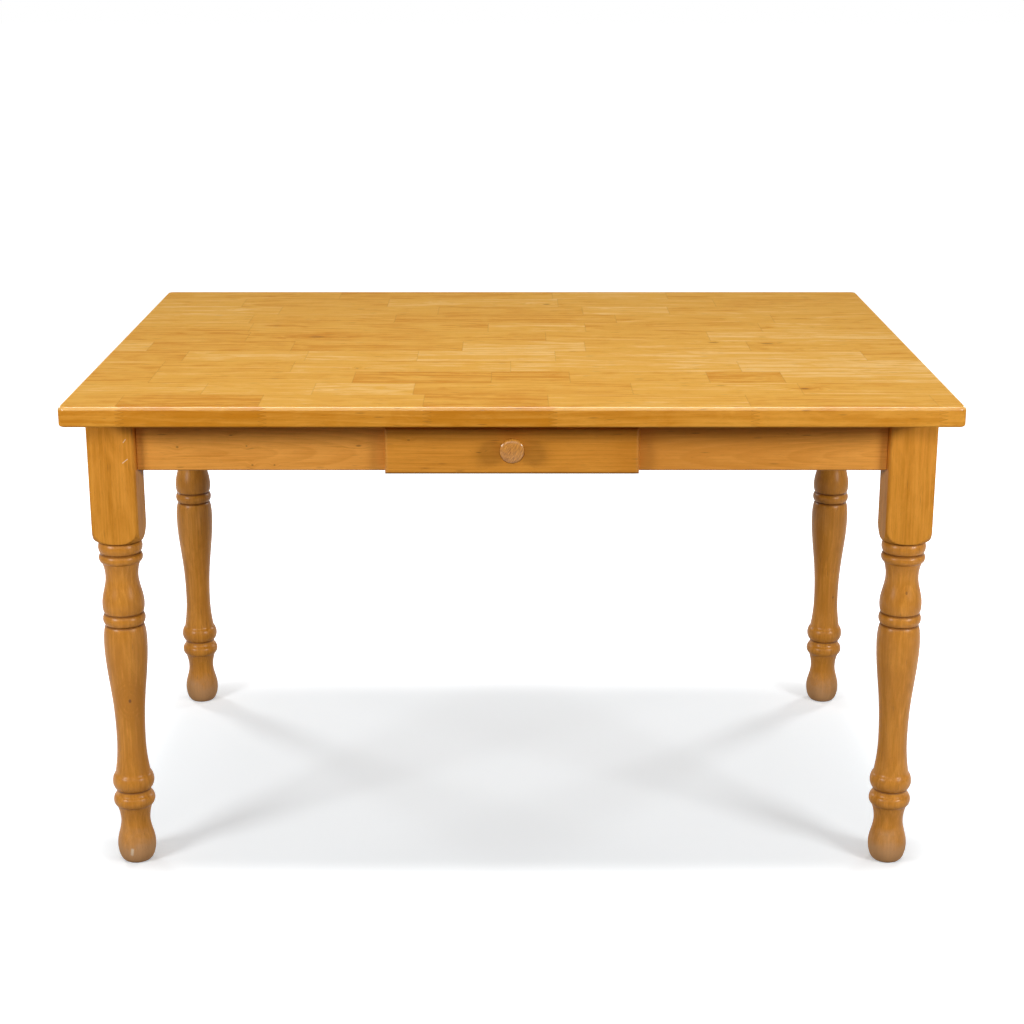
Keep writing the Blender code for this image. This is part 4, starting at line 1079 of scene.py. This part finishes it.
class TABLE_OT_fixings(bpy.types.Operator):
    """Make the threaded hanger bolts, their washers and their wing nuts"""

    bl_idname = "table.fixings"
    bl_label = "Bolts, Washers and Wing Nuts"

    def execute(self, context):
        sizes = context.scene.table_sizes
        brace_low, brace_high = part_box("corner_brace_front_left")
        height = (brace_low.z + brace_high.z) / 2
        for name, mesh in (
            ("hanger_bolt", self.bolt(sizes, height)),
            ("washer", self.washer(sizes, height)),
            ("wing_nut", self.wing_nut(sizes, height)),
        ):
            for corner, side_x, side_y, turn in CORNERS:
                copy = mesh.copy()
                copy.transform(at_corner(side_x, side_y, turn))
                node = name + "_" + corner
                material = materials(context)["zinc plated steel"]
                place_piece("steel_" + node, copy, material, "table", [node])
        return {"FINISHED"}

    def bolt(self, sizes, height):
        """Make a bolt with a cut thread on the end that shows."""
        node = "hanger_bolt_front_left"
        low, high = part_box(node)
        length = (high.x - low.x) * math.sqrt(2) - 2 * sizes.bolt_radius
        threaded = length / 2
        rows_a_turn = 6
        steps = int(threaded / sizes.thread_pitch * rows_a_turn)
        chamfer = 0.001
        end_share = 0.6
        rows = [(0.0, sizes.bolt_radius - chamfer), (chamfer, sizes.bolt_radius)]
        rows += [(length - threaded * (1 - step / steps), sizes.bolt_radius) for step in range(steps + 1)]

        def radius_at(row, angle):
            if row[0] < length - threaded:
                return row[1]
            turns = row[0] / sizes.thread_pitch - angle / (2 * math.pi)
            groove = abs(2 * (turns % 1.0) - 1)
            fade = min(1.0, (row[0] - length + threaded) / sizes.thread_pitch)
            end = min(1.0, end_share + (1 - end_share) * (length - row[0]) / chamfer)
            return (row[1] - sizes.thread_depth * groove * fade) * end

        mesh = polar_mesh("bolt", rows, even_angles(32), radius_at)
        mesh.transform(along_diagonal(diagonal_end(node, sizes.bolt_radius) - length, height))
        return mesh

    def washer(self, sizes, height):
        """Make a washer with eased edges."""
        thickness = 0.002
        ease = 0.0003
        bore = sizes.bolt_radius + ease
        outer = sizes.washer_radius
        rows = [
            (0.0, bore + ease), (0.0, outer - ease), (ease, outer), (thickness - ease, outer),
            (thickness, outer - ease), (thickness, bore + ease), (thickness - ease, bore), (ease, bore),
        ]
        mesh = polar_mesh("washer", rows, even_angles(48), plain_radius, ring=True)
        end = diagonal_end("washer_front_left", outer)
        mesh.transform(along_diagonal(end - thickness, height))
        return mesh

    def wing_nut(self, sizes, height):
        """Make a wing nut: a tapered hub with two rounded wings."""
        hub_length = 0.0095
        hub_ease = 0.0004
        wing_ease = 0.0006
        rise = 0.016
        tip = 0.0055
        root_low = 0.0014
        root_high = 0.0081
        elbow_inset = 0.0049
        elbow_height = 0.0043
        hub_rows = [
            (0.0, sizes.nut_hub - hub_ease), (hub_ease, sizes.nut_hub),
            (hub_length - 2 * hub_ease, sizes.nut_hub * 0.87), (hub_length, sizes.nut_hub * 0.78),
        ]
        hub = add_piece("nut_hub", polar_mesh("nut_hub", hub_rows, even_angles(40), plain_radius))
        reach = sizes.nut_span / 2
        half = [(0.0, root_low), (sizes.nut_hub, root_low), (reach - elbow_inset, elbow_height)]
        for step in range(9):
            angle = math.pi * step / 8
            across = reach - tip / 2 + tip / 2 * math.cos(angle)
            half.append((across, rise - tip / 2 + tip / 2 * math.sin(angle)))
        half += [(sizes.nut_hub * 0.9, root_high), (0.0, root_high)]
        form = bmesh.new()
        for side in (1, -1):
            corners = [form.verts.new((side * x, -sizes.nut_wing / 2, z)) for x, z in half]
            face = form.faces.new(corners)
            grown = bmesh.ops.extrude_face_region(form, geom=[face])["geom"]
            moved = [part for part in grown if isinstance(part, bmesh.types.BMVert)]
            bmesh.ops.translate(form, verts=moved, vec=(0.0, sizes.nut_wing, 0.0))
        bmesh.ops.recalc_face_normals(form, faces=form.faces)
        rim = [edge for edge in form.edges if edge.calc_face_angle(0) > math.radians(60)]
        round_edges(form, rim, wing_ease, segments=2)
        wings = add_piece("nut_wings", to_mesh("nut_wings", form))
        join = hub.modifiers.new("wings", "BOOLEAN")
        join.operation = "UNION"
        join.object = wings
        mesh = baked(hub)
        bpy.data.objects.remove(wings, do_unlink=True)
        washer_end = diagonal_end("washer_front_left", sizes.washer_radius)
        mesh.transform(along_diagonal(washer_end + FIT_GAP, height))
        return mesh


class TABLE_OT_drawer(bpy.types.Operator):
    """Make the drawer's front and its box"""

    bl_idname = "table.drawer"
    bl_label = "Drawer"

    def execute(self, context):
        sizes = context.scene.table_sizes
        mesh = self.front_board(sizes)
        material = materials(context)["lacquered drawer front"]
        place_piece("board_drawer_front", mesh, material, "drawer", ["drawer_front"])
        box = {"drawer_side_left": "Y", "drawer_side_right": "Y", "drawer_back": "X"}
        arris = sizes.frame_arris
        place_boards(context, box, arris, "bare wood along ", "box_", "drawer")
        mesh = softened("drawer_bottom", arris / 2)
        material = materials(context)["thin panel"]
        place_piece("box_drawer_bottom", mesh, material, "drawer", ["drawer_bottom"])
        return {"FINISHED"}

    def front_board(self, sizes):
        """Make the front board with its rounded face, housed for the box behind."""
        form = block(FRONT_LOW, FRONT_HIGH)
        middle = (FRONT_LOW.y + FRONT_HIGH.y) / 2
        rim = [edge for edge in form.edges if all(vert.co.y < middle for vert in edge.verts)]
        back = [edge for edge in form.edges if all(vert.co.y > middle for vert in edge.verts)]
        round_edges(form, rim, sizes.front_round, segments=8)
        back = [edge for edge in back if edge.is_valid]
        round_edges(form, back, sizes.frame_arris, segments=3)
        board = add_piece("front_blank", to_mesh("front_blank", form))
        tools = [self.housing(node) for node in ("drawer_side_left", "drawer_side_right", "drawer_bottom")]
        for tool in tools:
            cut = board.modifiers.new(tool.name, "BOOLEAN")
            cut.operation = "DIFFERENCE"
            cut.object = tool
        mesh = baked(board)
        for tool in tools:
            bpy.data.objects.remove(tool, do_unlink=True)
        return mesh

    def housing(self, node):
        """Make the cutter for a housing that takes the end of a box piece."""
        low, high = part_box(node)
        gap = Vector((FIT_GAP, FIT_GAP, FIT_GAP))
        return add_piece("housing_" + node, to_mesh("housing", block(low - gap, high + gap)))


class TABLE_OT_knob(bpy.types.Operator):
    """Make the turned knob and its screw"""

    bl_idname = "table.knob"
    bl_label = "Knob"

    def execute(self, context):
        sizes = context.scene.table_sizes
        middle = (KNOB_LOW + KNOB_HIGH) / 2
        tip = Matrix.Rotation(math.pi / 2, 4, "X")
        knob = polar_mesh("knob", self.knob_rows(sizes), even_angles(96), plain_radius)
        knob.transform(Matrix.Translation((middle.x, KNOB_HIGH.y, middle.z)) @ tip)
        material = materials(context)["turned knob wood"]
        place_piece("turned_knob", knob, material, "drawer", ["drawer_knob"], smooth_angle=60)
        low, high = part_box("knob_screw")
        screw = polar_mesh("screw", self.screw_rows(high.y - low.y), even_angles(32), plain_radius)
        screw.transform(Matrix.Translation((middle.x, high.y, middle.z)) @ tip)
        steel = materials(context)["zinc plated steel"]
        place_piece("steel_knob_screw", screw, steel, "drawer", ["knob_screw"])
        return {"FINISHED"}

    def knob_rows(self, sizes):
        """List the knob's rows from the drawer out: base, stem, mushroom rim and domed crown."""
        steps = 14
        crown_share = 0.985
        crown = KNOB_HIGH.y - KNOB_LOW.y
        rim = crown - sizes.knob_dome
        under = rim - sizes.knob_hollow
        rows = []
        for step in range(steps + 1):
            way = 1 - step / steps
            rows.append((under * (1 - way), sizes.knob_stem + (sizes.knob_base - sizes.knob_stem) * way ** 2))
        for step in range(1, steps + 1):
            angle = math.pi / 2 * step / steps
            reach = (sizes.knob_radius - sizes.knob_stem) * (1 - math.cos(angle))
            rows.append((under + sizes.knob_hollow * math.sin(angle), sizes.knob_stem + reach))
        for step in range(1, steps + 1):
            angle = math.pi / 2 * step / steps * crown_share
            rows.append((rim + sizes.knob_dome * math.sin(angle), sizes.knob_radius * math.cos(angle)))
        return rows

    def screw_rows(self, length):
        """List the knob screw's rows from its head to its end, with turns of thread as ridges."""
        head = 0.0026
        rim = 0.0040
        shank = 0.0020
        core = 0.0016
        turn = 0.0011
        plain = 0.004
        point = 0.003
        rows = [(0.0, 0.0026), (0.0004, 0.0034), (head / 2, rim), (head - 0.0003, rim), (head, 0.0037)]
        rows.append((head, shank))
        height = head + plain
        while height < length - point:
            rows += [(height, core), (height + 0.0005, shank), (height + 0.0010, core)]
            height += turn
        rows.append((length, core / 2))
        return rows


class TABLE_OT_screws(bpy.types.Operator):
    """Set the heads of the wood screws in the buttons, the kickers and the drawer's bottom"""

    bl_idname = "table.screws"
    bl_label = "Screws"

    def execute(self, context):
        tree = self.screw_tree()
        self.set_screws(context, tree, "frame_screws", "table", self.frame_places())
        self.set_screws(context, tree, "drawer_screws", "drawer", self.drawer_places())
        return {"FINISHED"}

    def frame_places(self):
        """List where the frame's screws sit and which way their heads look."""
        spread = 0.8
        places = []
        for node in sorted(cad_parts):
            low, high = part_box(node)
            middle = (low + high) / 2
            if node.startswith("top_button"):
                places.append(((middle.x, middle.y, low.z), (0, 0, -1)))
            if node.startswith("drawer_kicker"):
                for y in (low.y * spread, 0.0, high.y * spread):
                    places.append(((middle.x, y, low.z), (0, 0, -1)))
        return places

    def drawer_places(self):
        """List where the drawer's screws sit and which way their heads look."""
        spread = 0.7
        inset = 0.006
        low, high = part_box("drawer_bottom")
        return [((x, high.y - inset, low.z), (0, 0, -1)) for x in (low.x * spread, 0.0, high.x * spread)]

    def set_screws(self, context, tree, name, body, places):
        """Put a screw at each place, as one plain mesh for a body."""
        sizes = context.scene.table_sizes
        points = bpy.data.meshes.new(name)
        points.from_pydata([place for place, facing in places], [], [])
        facings = points.attributes.new("facing", "FLOAT_VECTOR", "POINT")
        for index, (place, facing) in enumerate(places):
            facings.data[index].vector = facing
        holder = add_piece(name + "_points", points)
        modifier = holder.modifiers.new("screws", "NODES")
        modifier.node_group = tree
        values = {
            "Head Radius": sizes.screw_head,
            "Head Height": sizes.screw_rise,
            "Slot Width": sizes.screw_slot,
            "Material": materials(context)["zinc plated steel"],
        }
        for item in tree.interface.items_tree:
            if item.name in values:
                modifier[item.identifier] = values[item.name]
        mesh = baked(holder)
        mesh.name = name
        piece = add_piece(name, mesh)
        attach(piece, body)

    def screw_tree(self):
        """Build the node tree that puts a cross-headed screw on each point."""
        tree = bpy.data.node_groups.new("cross-headed screws", "GeometryNodeTree")
        sockets = tree.interface
        sockets.new_socket("Geometry", in_out="INPUT", socket_type="NodeSocketGeometry")
        for name in ("Head Radius", "Head Height", "Slot Width"):
            sockets.new_socket(name, in_out="INPUT", socket_type="NodeSocketFloat")
        sockets.new_socket("Material", in_out="INPUT", socket_type="NodeSocketMaterial")
        sockets.new_socket("Geometry", in_out="OUTPUT", socket_type="NodeSocketGeometry")
        nodes = Nodes(tree)
        given = nodes.node("NodeGroupInput").outputs
        radius = Signal(nodes, given["Head Radius"])
        height = Signal(nodes, given["Head Height"])
        width = Signal(nodes, given["Slot Width"])
        head = nodes.node(
            "GeometryNodeMeshCone",
            None,
            {"Vertices": 28, "Radius Top": radius * 0.74, "Radius Bottom": radius, "Depth": height},
        ).outputs["Mesh"]
        for turn in (0.0, math.pi / 2):
            arm = nodes.node(
                "GeometryNodeMeshCube", None, {"Size": nodes.vector(radius * 1.15, width, height * 1.2)}
            ).outputs["Mesh"]
            lifted = nodes.vector(0.0, 0.0, height)
            placed = nodes.node(
                "GeometryNodeTransform",
                None,
                {"Geometry": arm, "Translation": lifted, "Rotation": (0.0, 0.0, turn)},
            ).outputs["Geometry"]
            head = nodes.node(
                "GeometryNodeMeshBoolean", {"operation": "DIFFERENCE"}, {"Mesh 1": head, "Mesh 2": placed}
            ).outputs["Mesh"]
        facing = nodes.node(
            "GeometryNodeInputNamedAttribute", {"data_type": "FLOAT_VECTOR"}, {"Name": "facing"}
        ).outputs["Attribute"]
        aim = nodes.node("FunctionNodeAlignRotationToVector", {"axis": "Z"}, {"Vector": facing})
        screws = nodes.node(
            "GeometryNodeInstanceOnPoints",
            None,
            {"Points": given["Geometry"], "Instance": head, "Rotation": aim.outputs["Rotation"]},
        )
        real = nodes.node("GeometryNodeRealizeInstances", None, {"Geometry": screws.outputs["Instances"]})
        plated = nodes.node(
            "GeometryNodeSetMaterial",
            None,
            {"Geometry": real.outputs["Geometry"], "Material": given["Material"]},
        )
        nodes.node("NodeGroupOutput", None, {"Geometry": plated.outputs["Geometry"]})
        return tree


class TABLE_OT_stage(bpy.types.Operator):
    """Set up the floor, the soft studio light and the camera"""

    bl_idname = "table.stage"
    bl_label = "Stage"

    def execute(self, context):
        sizes = context.scene.table_sizes
        self.add_floor(sizes, context.scene.table_colours)
        self.add_world(context.scene, sizes)
        for lamp in LAMPS:
            self.add_lamp(sizes, *lamp)
        self.add_camera(context.scene, sizes)
        context.scene.view_settings.view_transform = "Standard"
        return {"FINISHED"}

    def shown(self, nodes):
        """Tell camera, glossy and transmission rays, which see the white studio, from the rest."""
        path = nodes.node("ShaderNodeLightPath").outputs
        names = ("Is Camera Ray", "Is Glossy Ray", "Is Transmission Ray")
        return nodes.math("MINIMUM", sum(Signal(nodes, path[name]) for name in names), 1.0)

    def add_floor(self, sizes, colours):
        """Lay a wide pale floor, which shows as white where no shadow falls and further off."""
        reach = 30.0
        front_share = 0.68
        form = bmesh.new()
        bmesh.ops.create_grid(form, x_segments=1, y_segments=1, size=reach)
        floor = add_piece("floor", to_mesh("floor", form))
        floor.location.z = -FIT_GAP
        paint = Finish("studio floor", specular=0.0)
        shown = self.shown(paint)
        paint.feed(Base_Color=paint.mix(shown, colours.floor_bounce, colours.floor))
        x, y = paint.parts(paint.place)[:2]
        aside = paint.ramp(abs(x), LEG_X + sizes.floor_fade, LEG_X)
        front = paint.ramp(y, -LEG_Y - sizes.floor_fade * front_share, -LEG_Y)
        back = paint.ramp(y, LEG_Y + sizes.floor_fade, LEG_Y)
        # The floor's white glow is less under the table, where the cast shadow shows, and less again towards
        # the front: painted shade that evens out that shadow from front to back.
        lift = shown * (1.0 - aside * front * back * (1.0 - sizes.floor_lift - y * sizes.floor_lean))
        paint.feed(Roughness=0.9, Emission_Strength=1.0, Emission_Color=paint.vector(lift, lift, lift))
        floor.data.materials.append(paint.material)

    def add_world(self, scene, sizes):
        """Light the table a little from all round, and show white to the camera and in reflections."""
        world = bpy.data.worlds.new("studio")
        world.use_nodes = True
        scene.world = world
        nodes = Nodes(world.node_tree)
        background = world.node_tree.nodes["Background"]
        nodes.fill(background.inputs["Color"], (1.0, 1.0, 1.0, 1.0))
        strength = sizes.fill_light + self.shown(nodes) * (1.0 - sizes.fill_light)
        nodes.fill(background.inputs["Strength"], strength)

    def add_lamp(self, sizes, name, place, aim, width, height, power):
        """Add a soft lamp that looks at a point."""
        lamp = bpy.data.lights.new(name, "AREA")
        lamp.shape = "RECTANGLE"
        lamp.size = width
        lamp.size_y = height
        lamp.energy = power * sizes.lamp_light
        light = add_piece(name, lamp)
        light.location = place
        light.rotation_euler = (Vector(aim) - light.location).to_track_quat("-Z", "Y").to_euler()

    def add_camera(self, scene, sizes):
        """Set the camera where the photograph was taken from."""
        lens = bpy.data.cameras.new("camera")
        lens.lens = sizes.lens
        lens.sensor_width = SENSOR_WIDTH
        camera = add_piece("camera", lens)
        camera.location = CAMERA_PLACE
        camera.rotation_euler = (math.pi / 2 - CAMERA_DIP, 0.0, 0.0)
        scene.camera = camera


class TABLE_PT_panel(bpy.types.Panel):
    """List the table's steps, sizes and colours in the sidebar"""

    bl_idname = "TABLE_PT_panel"
    bl_label = "Farmhouse Table"
    bl_space_type = "VIEW_3D"
    bl_region_type = "UI"
    bl_category = "Table"

    def draw(self, context):
        for step in STEPS:
            self.layout.operator(step.bl_idname)
        for group in (context.scene.table_sizes, context.scene.table_colours):
            box = self.layout.box()
            for name in group.__annotations__:
                box.prop(group, name)


STEPS = (
    TABLE_OT_stage,
    TABLE_OT_top,
    TABLE_OT_legs,
    TABLE_OT_aprons,
    TABLE_OT_frame,
    TABLE_OT_fixings,
    TABLE_OT_drawer,
    TABLE_OT_knob,
    TABLE_OT_screws,
)
CLASSES = (TableSizes, TableColours, *STEPS, TABLE_PT_panel)


def register():
    """Register the classes and hang the settings on the scene."""
    for item in CLASSES:
        bpy.utils.register_class(item)
    bpy.types.Scene.table_sizes = bpy.props.PointerProperty(type=TableSizes)
    bpy.types.Scene.table_colours = bpy.props.PointerProperty(type=TableColours)


def unregister():
    """Remove the settings and the classes."""
    del bpy.types.Scene.table_colours
    del bpy.types.Scene.table_sizes
    for item in reversed(CLASSES):
        bpy.utils.unregister_class(item)


def main():
    """Register the steps and dress the table with them."""
    register()
    bpy.ops.table.stage()
    bpy.ops.table.top()
    bpy.ops.table.legs()
    bpy.ops.table.aprons()
    bpy.ops.table.frame()
    bpy.ops.table.fixings()
    bpy.ops.table.drawer()
    bpy.ops.table.knob()
    bpy.ops.table.screws()


if __name__ == "__main__":
    main()
